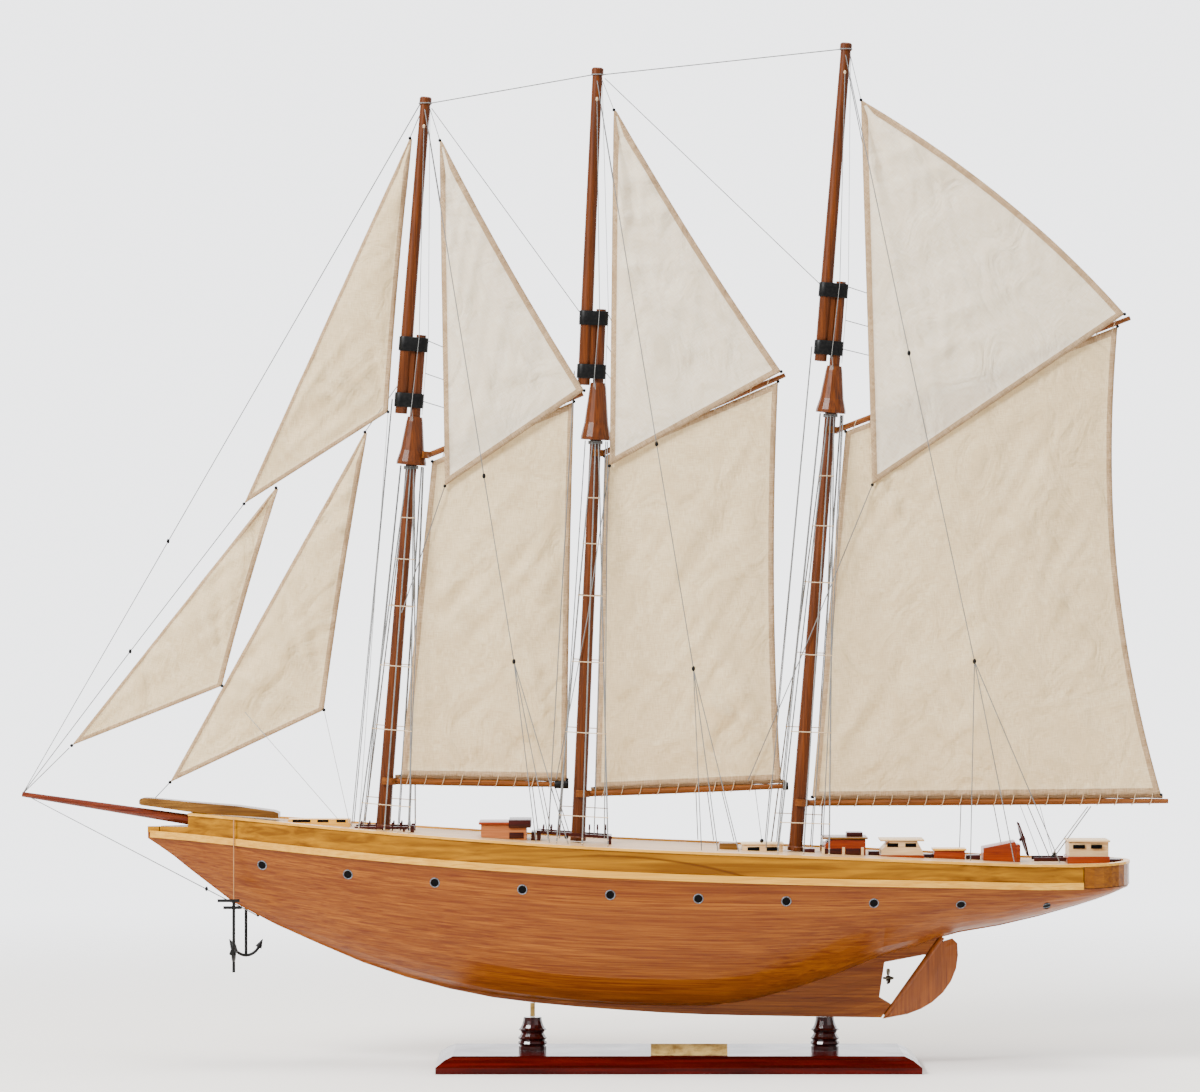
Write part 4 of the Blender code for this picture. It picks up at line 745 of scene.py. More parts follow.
def make_sail(name, spec, cloth, hem_cloth, seed):
    """One hemmed sail: a fine grid of cloth, thicker along its folded and stitched edges."""
    head_luff, head_leech, clew, tack = (flat(*corner) for corner in spec[:4])
    height = ((head_luff - tack).length + (head_leech - clew).length) / 2
    width = max((clew - tack).length, (head_leech - head_luff).length)
    rows = steps_with_hems(height / MM, max(24, int(height / MM / 5)))
    columns = steps_with_hems(width / MM, max(18, int(width / MM / 5)))
    place = sail_surface(spec, name, seed)
    shape = bmesh.new()
    uv_layer = shape.loops.layers.uv.new("cloth")
    weight = shape.verts.layers.deform.verify()
    grid = bmesh.ops.create_grid(shape, x_segments=len(columns) - 1, y_segments=len(rows) - 1,
                                 size=0.5)["verts"]
    where = {}
    for vertex in grid:
        i = round((vertex.co.x + 0.5) * (len(columns) - 1))
        j = round((0.5 - vertex.co.y) * (len(rows) - 1))
        where[vertex] = (i, j)
    for vertex, (i, j) in where.items():
        v = rows[j]
        row_width = (head_luff.lerp(tack, v) - head_leech.lerp(clew, v)).length / MM
        hem_share = min(HEM_MM / max(row_width, 0.1), 0.34)
        u = hem_spread(columns, i, hem_share, row_width)
        vertex.co = place(u, v)
        in_hem = i <= 2 or i >= len(columns) - 3 or j <= 2 or j >= len(rows) - 3
        vertex[weight][0] = 1.0 if in_hem else CLOTH_MM / HEM_THICKNESS_MM
    lean = math.atan2(head_leech.x - clew.x, head_leech.z - clew.z)
    for face in shape.faces:
        spots = [where[vertex] for vertex in face.verts]
        column, row = min(i for i, _ in spots), min(j for _, j in spots)
        hem = column < 2 or column >= len(columns) - 3 or row < 2 or row >= len(rows) - 3
        face.material_index = 1 if hem else 0
        for loop in face.loops:
            x, z = loop.vert.co.x, loop.vert.co.z
            loop[uv_layer].uv = (x * math.cos(lean) - z * math.sin(lean),
                                 x * math.sin(lean) + z * math.cos(lean))
    bmesh.ops.recalc_face_normals(shape, faces=shape.faces)
    sail = mesh_object(name + "_cloth", shape, 50)
    sail.vertex_groups.new(name="hem")
    solid = sail.modifiers.new("folded hem", "SOLIDIFY")
    solid.thickness = HEM_THICKNESS_MM * MM
    solid.offset = 0.0
    solid.vertex_group = "hem"
    solid.thickness_vertex_group = 0.0
    sail.data.materials.append(cloth)
    sail.data.materials.append(hem_cloth)
    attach(sail, spec[6])
    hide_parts(name)
    size = cut_size([head_luff, head_leech, clew, tack])
    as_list(spec[7])


def cut_size(corners):
    """Width and length of the rectangle a sail is cut from, laid along its longest side."""
    sides = [b - a for a, b in zip(corners, corners[1:] + corners[:1])]
    along = max(sides, key=lambda side: side.length).normalized()
    across = Vector((-along.z, 0, along.x))
    spans = [max(c.dot(way) for c in corners) - min(c.dot(way) for c in corners)
             for way in (across, along)]
    return round(spans[0], 4), round(spans[1], 4)


def hem_spread(columns, i, hem_share, row_width):
    """Share along one row for a column, so that the hem keeps its width in every row."""
    last = len(columns) - 1
    seam_share = min(0.5 / max(row_width, 0.1), 0.02)
    edge = {0: 0.0, 1: hem_share / 2, 2: hem_share}
    if i in edge:
        return edge[i]
    if last - i in edge:
        return 1 - edge[last - i]
    inner = (i - 3) / (last - 6)
    start = hem_share + seam_share
    return start + (1 - 2 * start) * inner


def make_sails():
    cloth = cotton_sailcloth("unbleached_cotton", "#fae9c4", "#e8d2a6")
    # The topsails get a paler copy of the cotton than the lower sails.
    bleached = cotton_sailcloth("sun_bleached_cotton", "#fff6e4", "#f4e6cc")
    hem = cotton_sailcloth("folded_cotton_hem", "#d8bd98", "#b39470")
    for seed, (name, spec) in enumerate(SAILS.items()):
        high = name.endswith("_topsail") and name != "jib_topsail"
        make_sail(name, spec, bleached if high else cloth, hem, seed * 11.7 + 3.1)


# ---------------------------------------------------------------- standing rigging
HOUNDS = {"fore": 523.4, "main": 545.2, "mizzen": 568.7}
NET_STEPS = (0.14, 0.255, 0.385, 0.55, 0.725, 0.93)
NET_SPREAD = (-18.0, 4.0, 26.0)
MAST_HOUNDS_RADIUS = 4.9


def make_shrouds(name, thread, tan_thread):
    """Round shrouds from a seized collar, with thinner ratlines and a knot at each crossing."""
    centre = on_mast(name, HOUNDS[name] - 2.2)
    foot_x = mast_line(name)[0].x
    collar = [[centre + Vector((math.cos(a), math.sin(a), 0)) * (MAST_HOUNDS_RADIUS + 1.0) * MM
               + Vector((0, 0, dz * MM)) for a in np.linspace(0, math.tau, 25)]
              for dz in (-0.9, 0.0, 0.9)]
    ropes, steps, knots = list(collar), [], []
    for side in (-1, 1):
        lines = []
        for i, offset in enumerate(NET_SPREAD):
            top = centre + flat((i - 1) * 2.6, 0, side * (MAST_HOUNDS_RADIUS + 1.4))
            foot = rail_point(foot_x / MM + offset, side, 1.8)
            lines.append((top, foot))
            ropes.append([top, foot])
            knots.append(foot + Vector((0, 0, 1.2 * MM)))
            knots.append(top.lerp(foot, 0.985))
        for share in NET_STEPS:
            crossing = [top.lerp(foot, share) for top, foot in lines]
            overhang = (crossing[2] - crossing[0]).normalized() * 0.9 * MM
            steps.append([crossing[0] - overhang, *crossing, crossing[2] + overhang])
            knots += crossing
    net = thread_runs(name + "_shroud_lines", ropes, 1.25, thread)
    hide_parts(name + "_shrouds")
    thread_runs(name + "_ratlines", steps, 0.8, tan_thread)
    beads(name + "_ratline_knots", knots, 0.75, tan_thread)


# port feet of each backstay's fan, and where its upper and lower blocks sit on the stay
BACKSTAYS = {"fore": ((-49.6, -38.0, -22.0), 832.0, 512.9, 353.5),
             "main": ((92.0, 106.0, 124.0), 857.0, 540.8, 347.5),
             "mizzen": ((323.0, 361.0, 401.0), 879.0, 619.2, 353.5)}
BLOCK_X = {"fore": -68.8, "main": 85.4, "mizzen": 327.5}
MAST_TOP = {"fore": 843.9, "main": 869.2, "mizzen": 891.0}
UPPER_CAP = {"fore": 628.0, "main": 651.0, "mizzen": 675.0}
LOWER_CAP = {"fore": 579.2, "main": 604.5, "mizzen": 624.8}
PIN_HOLE = {"fore": 817.0, "main": 841.0, "mizzen": 864.0}


def make_backstays(name, thread, iron):
    """A stay from the masthead to a block on each side, and three falls from it to the rail."""
    feet, head_z, upper_z, lower_z = BACKSTAYS[name]
    stays, falls, blocks_at = [], [], []
    for side in (-1, 1):
        head = on_mast(name, head_z, -TOPMAST_FORWARD, side * 4.6)
        depth = half_beam(BLOCK_X[name]) * 0.74
        block = flat(BLOCK_X[name], lower_z, side * depth)
        stays.append([head, block])
        share = (head_z - upper_z) / (head_z - lower_z)
        blocks_at += [head.lerp(block, share), block]
        for x in feet:
            falls.append([block, rail_point(x, side, 4.0)])
    stay = thread_runs(name + "_backstay_lines", stays + falls, 0.85, thread)
    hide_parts(name + "_backstays")
    beads(name + "_backstay_blocks", blocks_at, 1.6, iron, stretch=1.5)


def make_running_lines(name, thread, pale_thread, tan_thread):
    """Halyards down the mast and its doubling, led to the pins at the foot."""
    foot_x = mast_line(name)[0].x / MM
    deck_z = deck_top(foot_x) + 4.0
    front = [on_mast(name, PIN_HOLE[name], -TOPMAST_FORWARD + 0.6, -5.3),
             on_mast(name, UPPER_CAP[name] + 6.5, -1.5, -7.0),
             on_mast(name, LOWER_CAP[name] - 6.5, -3.5, -7.0),
             on_mast(name, HOUNDS[name] + 32.0, 0.0, -6.4)]
    thread_runs(name + "_mast_face_line", [front], 0.7, thread)
    beads(name + "_mast_pegs", [front[0], front[3]], 1.2, tan_thread,
          stretch=1.6)
    runs = []
    for side in (-1, 1):
        low = on_mast(name, LOWER_CAP[name], -21.0, side * 3.0)
        runs.append([low, flat(foot_x - 26.0, deck_z, side * 17.0)])
        runs.append([on_mast(name, HOUNDS[name] - 1.0, -9.0, side * 6.0),
                     flat(foot_x - 16.0, deck_z, side * 15.0)])
        runs.append([on_mast(name, HOUNDS[name] - 1.0, 9.0, side * 5.0),
                     flat(foot_x + 14.0, deck_z, side * 14.0)])
        runs.append([on_mast(name, HOUNDS[name] - 1.0, 10.5, side * 9.0),
                     flat(foot_x + 23.0, deck_z, side * 16.0)])
    thread_runs(name + "_halyards", runs, 0.95, thread)
    top = on_mast(name, MAST_TOP[name] - 8.0, -TOPMAST_FORWARD + 4.2, -0.8)
    aft = [top, on_mast(name, UPPER_CAP[name] + 7.0, 6.2, -2.0),
           on_mast(name, HOUNDS[name] + 44.0, 6.0, -3.0)]
    thread_runs(name + "_topmast_line", [aft], 0.5, pale_thread)


def sail_corner(name, index):
    """A corner of a sail: 0 head at the luff, 1 head at the leech, 2 clew, 3 tack."""
    topsail = name.endswith("_topsail") and name != "jib_topsail"
    side = (TOPSAIL_HEAD_Y if index < 2 else TOPSAIL_Y) if topsail else 0.0
    return flat(*SAILS[name][index], side)


def between(start, end, count=14):
    """Points evenly along a straight run."""
    return [start.lerp(end, i / count) for i in range(count + 1)]


def moving_line(name, start, end, diameter_mm, material):
    """A line in even steps from a start on the model to a sail or spar, attached to no body."""
    line = thread_runs(name, [between(start, end)], diameter_mm, material, body=None)
    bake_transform(line)


def make_sail_lines(thread, pale_thread, iron):
    """Knots at every corner, halyards, tack lines and sheets."""
    for name, spec in SAILS.items():
        corners = [sail_corner(name, i) for i in (0, 2, 3)]
        if name in ("fore_sail", "main_sail", "mizzen_sail"):
            corners.append(sail_corner(name, 1))
        beads(name + "_corner_knots", corners, 1.5, iron, spec[6])
    tip = flat(-497.5, 237.2)
    for name in ("fore", "main", "mizzen"):
        head = sail_corner(name + "_topsail", 0)
        up = on_mast(name, MAST_TOP[name] - 9.0, -TOPMAST_FORWARD + 3.6)
        moving_line(name + "_topsail_halyard", up, head, 0.6, thread)
        luff_head, luff_foot = head, sail_corner(name + "_topsail", 3)
        for i, z in enumerate((UPPER_CAP[name] + 4, (UPPER_CAP[name] + LOWER_CAP[name]) / 2,
                               LOWER_CAP[name])):
            share = (luff_head.z / MM - z + 6) / (luff_head.z - luff_foot.z) * MM
            end = luff_head.lerp(luff_foot, share)
            start = on_mast(name, z, 6.0, -1.0)
            moving_line("%s_luff_hoop_%d" % (name, i), start, end, 0.8,
                        thread)
    thread_runs("jib_tack_pennants", [
        [sail_corner("jib_topsail", 3), flat(-404.0, 361.0), tip],
        [sail_corner("flying_jib", 3) + flat(-2.0, -2.0), tip],
        [sail_corner("inner_jib", 3), flat(-382.0, 233.6)],
        [sail_corner("jib_topsail", 0), flat(-151.5, 829.0)],
        [sail_corner("inner_jib", 0), flat(-171.5, 592.0)]], 0.8, thread)
    moving_line("flying_jib_sheet", flat(-221.0, 213.4, -6.0), sail_corner("flying_jib", 2),
                0.55, pale_thread)
    moving_line("inner_jib_sheet", flat(-212.5, 212.4, -12.0), sail_corner("inner_jib", 2),
                0.55, pale_thread)
    moving_line("jib_topsail_sheet", flat(-204.0, 210.5, -16.0),
                sail_corner("jib_topsail", 2), 0.55, pale_thread)
    moving_line("mizzen_sheet_a", flat(399.0, 184.5, -1.6), flat(430.0, 226.0, -1.6),
                1.0, pale_thread)
    moving_line("mizzen_sheet_b", flat(403.0, 184.5, 1.6), flat(433.0, 226.0, 1.6),
                1.0, thread)
    moving_line("mizzen_sheet_c", flat(388.0, 182.0, -3.0), flat(371.0, 227.0, -2.0),
                0.55, thread)
    moving_line("mizzen_sheet_d", flat(399.0, 183.5, -6.0), flat(388.0, 227.0, -2.0),
                0.55, thread)
    for mast, lead_z, spar, spar_point in (("mizzen", 382.0, "main_boom_body", (134, 248.5)),
                                          ("main", 392.0, "fore_boom_body", (-33, 249.5))):
        lead = on_mast(mast, lead_z, 0.0, -7.4)
        moving_line(mast + "_tack_line", lead, sail_corner(mast + "_topsail", 3),
                    0.85, thread)
        moving_line(spar[:4] + "_topping_line", lead, flat(*spar_point, -2.6), 0.85,
                    thread)
    moving_line("fore_tack_line", on_mast("fore", 395.0, 2.0, -7.0),
                sail_corner("fore_topsail", 3), 0.85, thread)
    moving_line("fore_sheet", flat(-24.0, 200.5, -4.0), flat(-38.0, 243.5, -1.0),
                0.6, thread)
    moving_line("main_sheet", flat(146.0, 196.0, -4.0), flat(140.0, 243.0, -1.0),
                0.6, thread)
    diagonals = [[flat(-141.5, 834.0, -0.6), on_mast("main", UPPER_CAP["main"] + 5, -19.0)],
                 [flat(9.5, 860.0, -0.6), on_mast("mizzen", UPPER_CAP["mizzen"] + 5, -19.0)]]
    thread_runs("spring_stays", diagonals, 0.75, thread)
    beads("stay_beads", [flat(-371.0, 457.0), flat(-404.0, 361.0), flat(-337.5, 154.2),
                         flat(-292.7, 131.8)], 1.4, iron, stretch=1.5)
    heads = {name: on_mast(name, MAST_TOP[name] - 6.5, -TOPMAST_FORWARD) for name in HOUNDS}
    stays = [[flat(-293.5, 131.0), tip, heads["fore"] + flat(-4.2, 0)],
             [heads["fore"] + flat(4.0, 0), heads["main"] + flat(-4.0, 0)],
             [heads["main"] + flat(4.0, 0), heads["mizzen"] + flat(-4.0, 0)]]
    collars = [[place + Vector((math.cos(a), math.sin(a), 0)) * 5.5 * MM
                for a in np.linspace(0, math.tau, 21)] for place in heads.values()]
    lines = thread_runs("head_stay_lines", stays + collars, 0.95, thread)
    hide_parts("head_stays")


# both ends of each spar's axis in millimetres, and whether its sail lies above or below it
SPARS = {"fore_boom": ((-178, 248), (-22.5, 244.9), 1),
         "main_boom": ((-8, 236.9), (169, 243.8), 1),
         "mizzen_boom": ((183, 229), (500, 230.7), 1),
         "fore_gaff": ((-146, 527.5), (-9.5, 585.4), -1),
         "main_gaff": ((2, 532), (166.4, 601.8), -1),
         "mizzen_gaff": ((213, 554), (466.9, 651.4), -1)}


def lace_spar(name, thread):
    """Slanting turns of thread that tie the sail's edge along a boom or gaff."""
    start, end, up = SPARS[name]
    start, end = flat(*start), flat(*end)
    length = (end - start).length
    turns = int(length / (15 * MM))
    runs = []
    for i in range(1, turns):
        middle = start.lerp(end, i / turns)
        loop = []
        for angle in np.linspace(0, math.tau, 17):
            rise = math.cos(angle)
            stretch = 6.6 if rise * up > 0 else 3.5
            loop.append(middle + Vector((rise * 1.6, math.sin(angle) * 3.5, rise * stretch)) * MM)
        runs.append(loop)
    thread_runs(name + "_lacing", runs, 0.55, thread, name + "_body")


def band_round(name, start, end, radius_mm, material, body):
    """A short closed collar between two points."""
    shape = bmesh.new()
    axis = end - start
    turn = axis.to_track_quat("Z", "Y").to_matrix().to_4x4()
    place = Matrix.Translation((start + end) / 2) @ turn
    bmesh.ops.create_cone(shape, cap_ends=True, segments=28, radius1=radius_mm * MM,
                          radius2=radius_mm * MM, depth=axis.length, matrix=place)
    rims = [e for e in shape.edges if any(len(f.verts) > 4 for f in e.link_faces)]
    bmesh.ops.bevel(shape, geom=rims, offset=0.25 * MM, segments=2, profile=0.5,
                    affect="EDGES", material=-1)
    fit_out(mesh_object(name, shape, 35), material, body)


def make_portholes(rim, glass):
    """Ten round lights along each side: a dark pane in a raised grey rim."""
    rims, panes = bmesh.new(), bmesh.new()
    for i in range(10):
        x = (-287.0 + 75.25 * i) * MM
        z = (sheer(x / MM) - 15.0) * MM
        for side in (-1, 1):
            ring_points = [hull_side(x + dx * MM, z + dz * MM, side)[0]
                           for dx, dz in ((-5.6, 0), (5.6, 0), (0, 5.6), (0, -5.6))]
            centre = sum(ring_points, Vector()) / 4
            across = ring_points[1] - ring_points[0]
            rise = ring_points[2] - ring_points[3]
            normal = across.cross(rise).normalized()
            if normal.y * side < 0:
                normal.negate()
            turn = normal.to_track_quat("Z", "Y").to_matrix().to_4x4()
            seat = Matrix.Translation(centre) @ turn
            profile = bmesh.ops.create_circle(rims, segments=12, radius=0.45 * MM,
                                              matrix=seat @ Matrix.Translation(
                                                  (3.95 * MM, 0, 0.1 * MM))
                                              @ Matrix.Rotation(math.pi / 2, 4, "X"))
            edges = list({e for v in profile["verts"] for e in v.link_edges})
            bmesh.ops.spin(rims, geom=profile["verts"] + edges, cent=centre, axis=normal,
                           angle=math.tau, steps=32, use_merge=True)
            bmesh.ops.create_cone(panes, cap_ends=True, segments=28, radius1=3.46 * MM,
                                  radius2=3.4 * MM, depth=0.8 * MM,
                                  matrix=seat @ Matrix.Translation((0, 0, -0.4 * MM)))
    bmesh.ops.recalc_face_normals(rims, faces=rims.faces)
    fit_out(mesh_object("porthole_rims", rims, 60), rim)
    fit_out(mesh_object("porthole_panes", panes, 30), glass)


def make_doubling(name, wood, iron):
    """Where topmast and lower mast stand side by side: packing between them, and two caps."""
    axis = mast_line(name)[1]
    lean = Matrix.Rotation(math.atan2(axis.x, axis.z), 4, "Y")
    for part, z in (("lower", LOWER_CAP[name]), ("upper", UPPER_CAP[name])):
        shape = bmesh.new()
        seat = Matrix.Translation(on_mast(name, z, -TOPMAST_FORWARD / 2)) @ lean
        size = Matrix.Diagonal((25.6 * MM, 13.2 * MM, 12.4 * MM, 1.0))
        corners = bmesh.ops.create_cube(shape, size=1.0, matrix=seat @ size)["verts"]
        upright = [e for v in corners for e in v.link_edges
                   if abs((e.verts[0].co - e.verts[1].co).normalized().dot(axis)) > 0.9]
        bmesh.ops.bevel(shape, geom=list(set(upright)), offset=5.6 * MM, segments=6,
                        profile=0.5, affect="EDGES", material=-1)
        rims = [e for e in shape.edges if any(len(f.verts) > 4 for f in e.link_faces)]
        bmesh.ops.bevel(shape, geom=rims, offset=0.4 * MM, segments=2, profile=0.5,
                        affect="EDGES", material=-1)
        band = "%s_%s_cap_band" % (name, part)
        collar = fit_out(mesh_object(band + "_iron", shape, 35), iron)
        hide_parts(band)
    low, high = LOWER_CAP[name] - 2.0, UPPER_CAP[name] + 2.0
    middle = on_mast(name, (low + high) / 2, -TOPMAST_FORWARD / 2 - 0.2)
    shape = bmesh.new()
    size = Matrix.Diagonal((4.6 * MM, 6.4 * MM, (high - low) * MM, 1.0))
    bmesh.ops.create_cube(shape, size=1.0, matrix=Matrix.Translation(middle) @ lean @ size)
    fit_out(mesh_object(name + "_doubling_packing", shape, 30), wood)


TOPMAST_MM = 5.4
TOPMAST_HEAD_MM = 4.4
TRUCK_MM = 5.3


def make_topmast(name, wood):
    """A turned topmast that tapers above its doubling and ends in a small truck."""
    axis = mast_line(name)[1]
    heel, shoulder = LOWER_CAP[name] - 12.0, UPPER_CAP[name] + 8.0
    top = MAST_TOP[name]
    outline = [(TOPMAST_MM - 0.4, heel), (TOPMAST_MM, heel + 0.6), (TOPMAST_MM, shoulder),
               (TOPMAST_HEAD_MM, top - 9.0), (TOPMAST_HEAD_MM, top - 7.0),
               (TRUCK_MM, top - 6.7), (TRUCK_MM, top - 1.2), (4.2, top - 0.1)]
    shape = bmesh.new()
    spots = [shape.verts.new((radius * MM, 0, (z - heel) * MM)) for radius, z in outline]
    edges = [shape.edges.new(pair) for pair in zip(spots, spots[1:])]
    bmesh.ops.spin(shape, geom=spots + edges, cent=(0, 0, 0), axis=(0, 0, 1),
                   angle=math.tau, steps=28, use_merge=True)
    rims = [edge for edge in shape.edges if edge.is_boundary]
    bmesh.ops.holes_fill(shape, edges=rims, sides=0)
    turn = Matrix.Rotation(math.atan2(axis.x, axis.z), 4, "Y")
    seat = Matrix.Translation(on_mast(name, heel, -TOPMAST_FORWARD))
    bmesh.ops.transform(shape, matrix=seat @ turn, verts=shape.verts)
    bmesh.ops.recalc_face_normals(shape, faces=shape.faces)
    pole = fit_out(mesh_object(name + "_topmast_pole", shape, 35), wood)
    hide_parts(name + "_topmast")


def make_stem_head(wood):
    """The golden cap on top of the stem, narrowing to the bow."""
    shape = bmesh.new()
    corners = add_block(shape, (-388.6, -5.2, 203.9), (-378.4, 5.2, 208.8), 0)
    for corner in corners:
        if corner.co.x < -384 * MM:
            corner.co.y *= 0.42
    fit_out(mesh_object("stem_head_cap", shape, 30), wood)


def make_foot_rolls(cloth):
    """The rolled foot of each lower sail, lying along the top of its boom."""
    for name in ("fore", "main", "mizzen"):
        start, end = (flat(*point) for point in SPARS[name + "_boom"][:2])
        lift = flat(0, 4.1)
        begin, finish = start.lerp(end, 0.03) + lift, start.lerp(end, 0.985) + lift
        runs = [[begin.lerp(finish, i / 40) + Vector((0, 0.25 * MM * math.sin(i * 2.4),
                                                      0.2 * MM * math.sin(i * 1.7)))
                 for i in range(41)]]
        thread_runs(name + "_foot_roll", runs, 3.2, cloth, name + "_boom_body")


def make_rudder_stock(wood):
    """The round stock along the rudder's leading edge, which closes its hinge line."""
    joint = next(j for j in frame["joints"] if j["name"] == "rudder_turn")
    axis = Vector(joint["axis"]).normalized()
    middle = Vector(joint["pos_m"])
    box_low, box_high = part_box("rudder")[:2]
    low = middle + axis * ((box_low[2] + 2.2 * MM - middle.z) / axis.z)
    high = middle + axis * ((box_high[2] + 1.2 * MM - middle.z) / axis.z)
    band_round("rudder_stock", low, high, 2.65, wood, "rudder_body")


ANCHOR_SIDES = {"port": (-311.5, -29.16, 217.1), "starboard": (-305.5, 30.97, 216.6)}


def make_anchors(rope, iron):
    """Each anchor on its rope: shank, double stock across the top, curved arms and flukes."""
    for side, (x, y, z) in ANCHOR_SIDES.items():
        facing = Vector((0, 1, 0)) if side == "port" else Vector((1, 0, 0))
        across = Vector((1, 0, 0)) if side == "port" else Vector((0, 1, 0))
        top, crown = flat(x, z - 70, y), flat(x, z - 123, y)
        body = side + "_anchor_body"
        thread_runs(side + "_anchor_cable", [between(flat(x, z, y), top, 6)], 1.0, rope, body)
        arms = []
        for angle in np.linspace(-1.15, 1.15, 15):
            out = facing * math.sin(angle) * 14 * MM
            arms.append(crown + out + Vector((0, 0, (1 - math.cos(angle)) * 18 * MM)))
        bars = [[top - across * 14 * MM - flat(0, 1), top + across * 5 * MM - flat(0, 1)],
                [top - across * 9 * MM - flat(0, 7), top + across * 7 * MM - flat(0, 7)]]
        tail = flat(0, 10 if side == "port" else 1.2)
        metal = thread_runs(side + "_anchor_arms", [[top, crown - tail], arms, *bars],
                            2.7, iron, body)
        shape = bmesh.new()
        for tip, inner in ((arms[0], arms[2]), (arms[-1], arms[-3])):
            turn = (tip - inner).to_track_quat("Z", "Y").to_matrix().to_4x4()
            bmesh.ops.create_cone(shape, cap_ends=True, segments=12, radius1=3.1 * MM,
                                  radius2=0.3 * MM, depth=8 * MM,
                                  matrix=Matrix.Translation(tip) @ turn)
        fit_out(mesh_object(side + "_anchor_flukes", shape, 35), iron, body)
        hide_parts(side + "_anchor")


# ---------------------------------------------------------------- deck furniture
def both_sides(low, high):
    """The same block on the port and the starboard side."""
    return [(low, high), ((low[0], -high[1], low[2]), (high[0], -low[1], high[2]))]


def pins(name, xs, ys, z, material):
    """Turned belaying pins standing in a rail."""
    shape = bmesh.new()
    for x in xs:
        for y in ys:
            for radius, dz, depth in ((0.55, 0.0, 7.0), (0.95, 1.6, 2.2), (0.8, 3.2, 0.9)):
                place = Matrix.Translation(flat(x, z + dz, y))
                bmesh.ops.create_cone(shape, cap_ends=True, segments=10, radius1=radius * MM,
                                      radius2=radius * 0.8 * MM, depth=depth * MM,
                                      matrix=place)
    fit_out(mesh_object(name, shape, 35), material)


def make_deck_furniture(woods, glass, iron):
    """Skylights, pin rails, hatches, windows, posts and roofs on and between the houses."""
    cream, orange, dark, tan, olive = (woods[k] for k in ("cream", "orange", "dark", "tan",
                                                          "olive"))
    blocks("fore_skylight", [((-266, -9, 206.5), (-212, 9, 215.4))], tan)
    slots = []
    for low, high in ((-262, -246.5), (-240.4, -230.8), (-223.8, -216)):
        slots += both_sides((low, -9.3, 212.8), (high, -8.7, 215.0))
    blocks("fore_skylight_slots", slots, glass, 0)
    rails = both_sides((-208, -16.5, 207.2), (-157, -13, 209.4))
    rails += both_sides((-159.5, -17, 204.0), (-156.0, -12.5, 210.4))
    for x in (-207, -184, -166):
        rails += both_sides((x, -15.8, 203.0), (x + 2, -13.7, 207.4))
    blocks("fore_pin_rails", rails, dark)
    pins("fore_belaying_pins", range(-203, -160, 7), (-14.8, 14.8), 209.2, dark)
    pins("main_belaying_pins", (-44, -37, -30, -4, 3, 10), (-14.0, 14.0), 206.0, dark)
    blocks("fore_cabin_roof", [((-100, -21.5, 211.2), (-56.5, 21.5, 213.4))], orange,
           0.6)
    blocks("fore_cabin_hatch", [((-74, -22, 208.6), (-54.6, 22, 215.4)),
                                *both_sides((-73.5, -20.7, 199.3), (-61, -19.6, 204.6)),
                                ((-54.5, -15, 197.0), (-50.6, 15, 204.5))],
           dark, 0.4)
    blocks("wheel_box_back", [((364, -13.4, 178.2), (370.2, 13.4, 193.4))], orange)
    blocks("coaming_hatch", [((109, -10, 186), (125, 10, 194.6))], olive, 0.6)
    blocks("main_skylight", [((129, -12, 186), (164, 12, 193.8)),
                             ((128, -13, 193.2), (165, 13, 194.6))], cream)
    blocks("low_hatches", [((181.5, -8, 184), (192, 8, 189.6)), ((239, -7, 181), (248, 7, 187.4)),
                           ((287, -7, 178), (296, 7, 184.8)), ((324, -6, 177), (336, 6, 184)),
                           ((447.5, -9, 175), (458, 9, 180.6))], dark)
    recess = both_sides((199.5, -18.7, 184.8), (214.5, -17.6, 190.6))
    recess += both_sides((218.5, -18.7, 184.8), (231.0, -17.6, 190.6))
    blocks("midship_recesses", recess, dark, 0.2)
    posts = []
    for x in (197.6, 215.2, 231.6):
        posts += both_sides((x, -19.6, 183.0), (x + 2.4, -17.4, 191.6))
    blocks("midship_posts", posts, cream, 0.3)
    blocks("midship_roof", [((198, -19.5, 198.6), (237.5, 19.5, 200.2))], olive)
    blocks("midship_hatch", [((219.5, -9, 199.8), (233.6, 9, 203.8))], dark)
    blocks("after_house_trim", [((248.6, -16.8, 182.0), (286.4, 16.8, 184.6)),
                                ((410.8, -17.8, 176.8), (447.4, 17.8, 183.4)),
                                ((295.6, -10, 178.6), (322.4, 10, 188.4))], orange)
    blocks("after_house_roofs", [((248.4, -17.2, 196.6), (286.6, 17.2, 198.2)),
                                 ((410.8, -18.2, 195.9), (447.8, 18.2, 197.5))], cream,
           0.5)
    blocks("small_skylight_lid", [((294.4, -11.2, 188.0), (323.6, 11.2, 189.8))], tan,
           0.5)
    panes = []
    for low, high, side, z in ((133.3, 143.7, 12, 188), (149.8, 160.3, 12, 188),
                               (254.3, 263.9, 16, 191.6), (270, 279.6, 16, 191.6),
                               (415.5, 425.9, 17, 190.2), (431.1, 440.7, 17, 190.2)):
        panes += both_sides((low, -side - 0.25, z), (high, -side + 0.4, z + 3.4))
    blocks("house_windows", panes, glass, 0.1)
    horse = both_sides((382, -13, 179.0), (410, -11.4, 182.4))
    blocks("sheet_rails", horse, dark, 0.4)
    beads("sheet_blocks", [flat(401, 184.6), flat(388, 181.6, -3), flat(399, 182.6, -6),
                           flat(-24, 199.6, -4), flat(146, 196.4, -4)], 1.9, iron)
    beads("wheel_hub", [flat(372.4, 198.0)], 1.6, iron, "wheel_body")


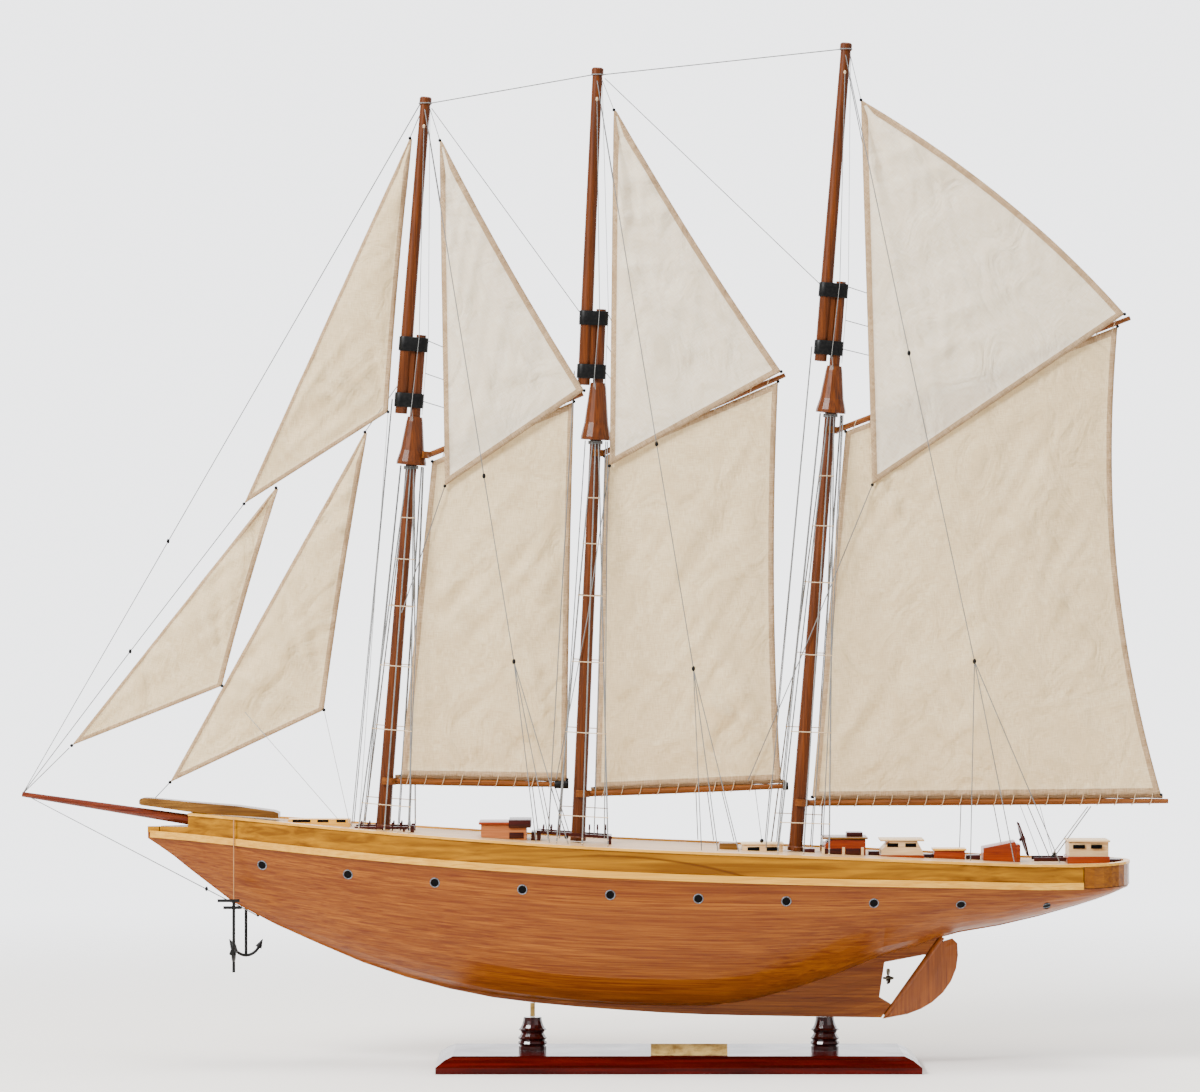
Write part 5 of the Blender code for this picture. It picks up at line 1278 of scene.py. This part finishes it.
def main():
    thread = waxed_thread("grey_waxed_thread", "#8f8f8d", "#4e4e4d")
    pale_thread = waxed_thread("pale_grey_thread", "#c4c4c2", "#8b8b89")
    tan_thread = waxed_thread("tan_waxed_thread", "#e6cba6", "#b3946c")
    iron = blackened_iron()
    glass = dark_glass()
    make_sails()
    for name in HOUNDS:
        make_shrouds(name, thread, tan_thread)
        make_backstays(name, thread, iron)
        make_running_lines(name, thread, pale_thread, tan_thread)
    make_sail_lines(thread, pale_thread, iron)
    for name in SPARS:
        lace_spar(name, tan_thread)
    make_foot_rolls(cotton_sailcloth("rolled_cotton_foot", "#cfa678", "#a87a4c"))
    band_round("fore_boom_band", flat(-34.5, 245.2), flat(-22.1, 244.9), 3.5, iron,
               "fore_boom_body")
    band_round("main_boom_band", flat(164.3, 243.6), flat(169.2, 243.8), 3.5, iron,
               "main_boom_body")
    make_portholes(grey_tin("grey_tin_rim", "#7d8790", "#454c54"), glass)
    woods = dress_frame(thread, iron)
    for name in HOUNDS:
        make_doubling(name, woods["spar"], iron)
        make_topmast(name, woods["spar"])
    make_stem_head(woods["golden"])
    make_rudder_stock(woods["rudder"])
    make_anchors(waxed_thread("brown_waxed_thread", "#c08a54", "#8a5c30"), iron)
    make_deck_furniture(woods, glass, iron)


# ---------------------------------------------------------------- finishes on the frame
def dress_frame(thread, iron):
    """Puts a finish on every node that shows as it is, and returns the deck house woods."""
    spar = varnished_wood("stained_ramin_spar", "#703608", "#421c04", "Z", 1.6, 60, 0.46, 0.1)
    spar_along = varnished_wood("stained_ramin_boom", "#8c5018", "#603006", "X", 1.4, 50, 0.36,
                                0.3)
    golden = bulwark_board()
    pale = varnished_wood("pale_rail_strip", "#ecb44a", "#c88a24", "X", 2.0, 80, 0.36, 0.3)
    stern = varnished_wood("olive_stern_block", "#915600", "#653400", "X", 3.0, 40, 0.34, 0.3)
    cream = varnished_wood("cream_cabin_wood", "#ecd0a0", "#d0a872", "X", 2.4, 50, 0.5, 0.1)
    orange = varnished_wood("red_orange_joinery", "#9f3d0d", "#6e2003", "X", 1.8, 40, 0.36, 0.3)
    dark = varnished_wood("dark_red_joinery", "#490f06", "#230502", "X", 1.8, 40, 0.36, 0.3)
    pedestal = varnished_wood("turned_dark_mahogany", "#3b0804", "#180302", "Z", 2.0, 30, 0.16,
                              0.7)
    rudder = varnished_wood("cedar_rudder", "#98500e", "#6c3204", "Z", 2.4, 60, 0.34, 0.3)
    brass = aged_brass("aged_brass", "#a68b53", "#715830")
    # The bowsprit's own red-brown wood is made darker all over as painted shade for the shadow
    # along its underside and root.
    bowsprit_wood_with_painted_shade = varnished_wood("red_bowsprit_darkened_for_shade", "#7c3414", "#421006", "X", 1.6, 60, 0.34,
                               0.2)
    bronze = aged_brass("weathered_bronze", "#6a6252", "#3c382f")
    house = varnished_wood("pink_tan_cabin_side", "#c07a4c", "#9c5a30", "X", 2.0, 50, 0.4, 0.1)
    platform = varnished_wood("bow_platform_board", "#8a5f24", "#553410", "X", 2.4, 60, 0.34,
                              0.2)
    finishes = {
        "plinth": red_lacquer(), "nameplate": brass, "fore_pedestal": pedestal,
        "aft_pedestal": pedestal, "support_rod": brass, "hull": cedar_planking(),
        "deck": deck_boards(), "port_bulwark": golden, "starboard_bulwark": golden,
        "port_strake": pale, "starboard_strake": pale, "stern_bulwark": stern,
        "cap_rail": pale, "bow_platform": platform, "bowsprit": bowsprit_wood_with_painted_shade, "rudder": rudder,
        "propeller": bronze, "steering_wheel": dark, "port_anchor": iron,
        "starboard_anchor": iron, "head_stays": thread, "wheel_box": orange,
        "aft_cabin": cream, "after_deckhouse": cream, "midship_deckhouse": orange,
        "fore_cabin": house, "main_pin_rail": dark}
    for name in HOUNDS:
        for part in ("lower_mast", "topmast"):
            finishes[name + "_" + part] = spar
        for part in ("boom", "gaff"):
            finishes[name + "_" + part] = spar_along
        for part in ("lower_cap_band", "upper_cap_band"):
            finishes[name + "_" + part] = iron
        finishes[name + "_backstays"] = thread
    for node, material in finishes.items():
        slots = NODES[node].material_slots
        if not slots:
            NODES[node].data.materials.append(material)
        for slot in slots:
            slot.material = material
    return {"cream": cream, "orange": orange, "dark": dark, "tan": pale, "olive": platform,
            "spar": spar, "rudder": rudder, "golden": golden}


set_camera_and_light()
lay_floor()
main()
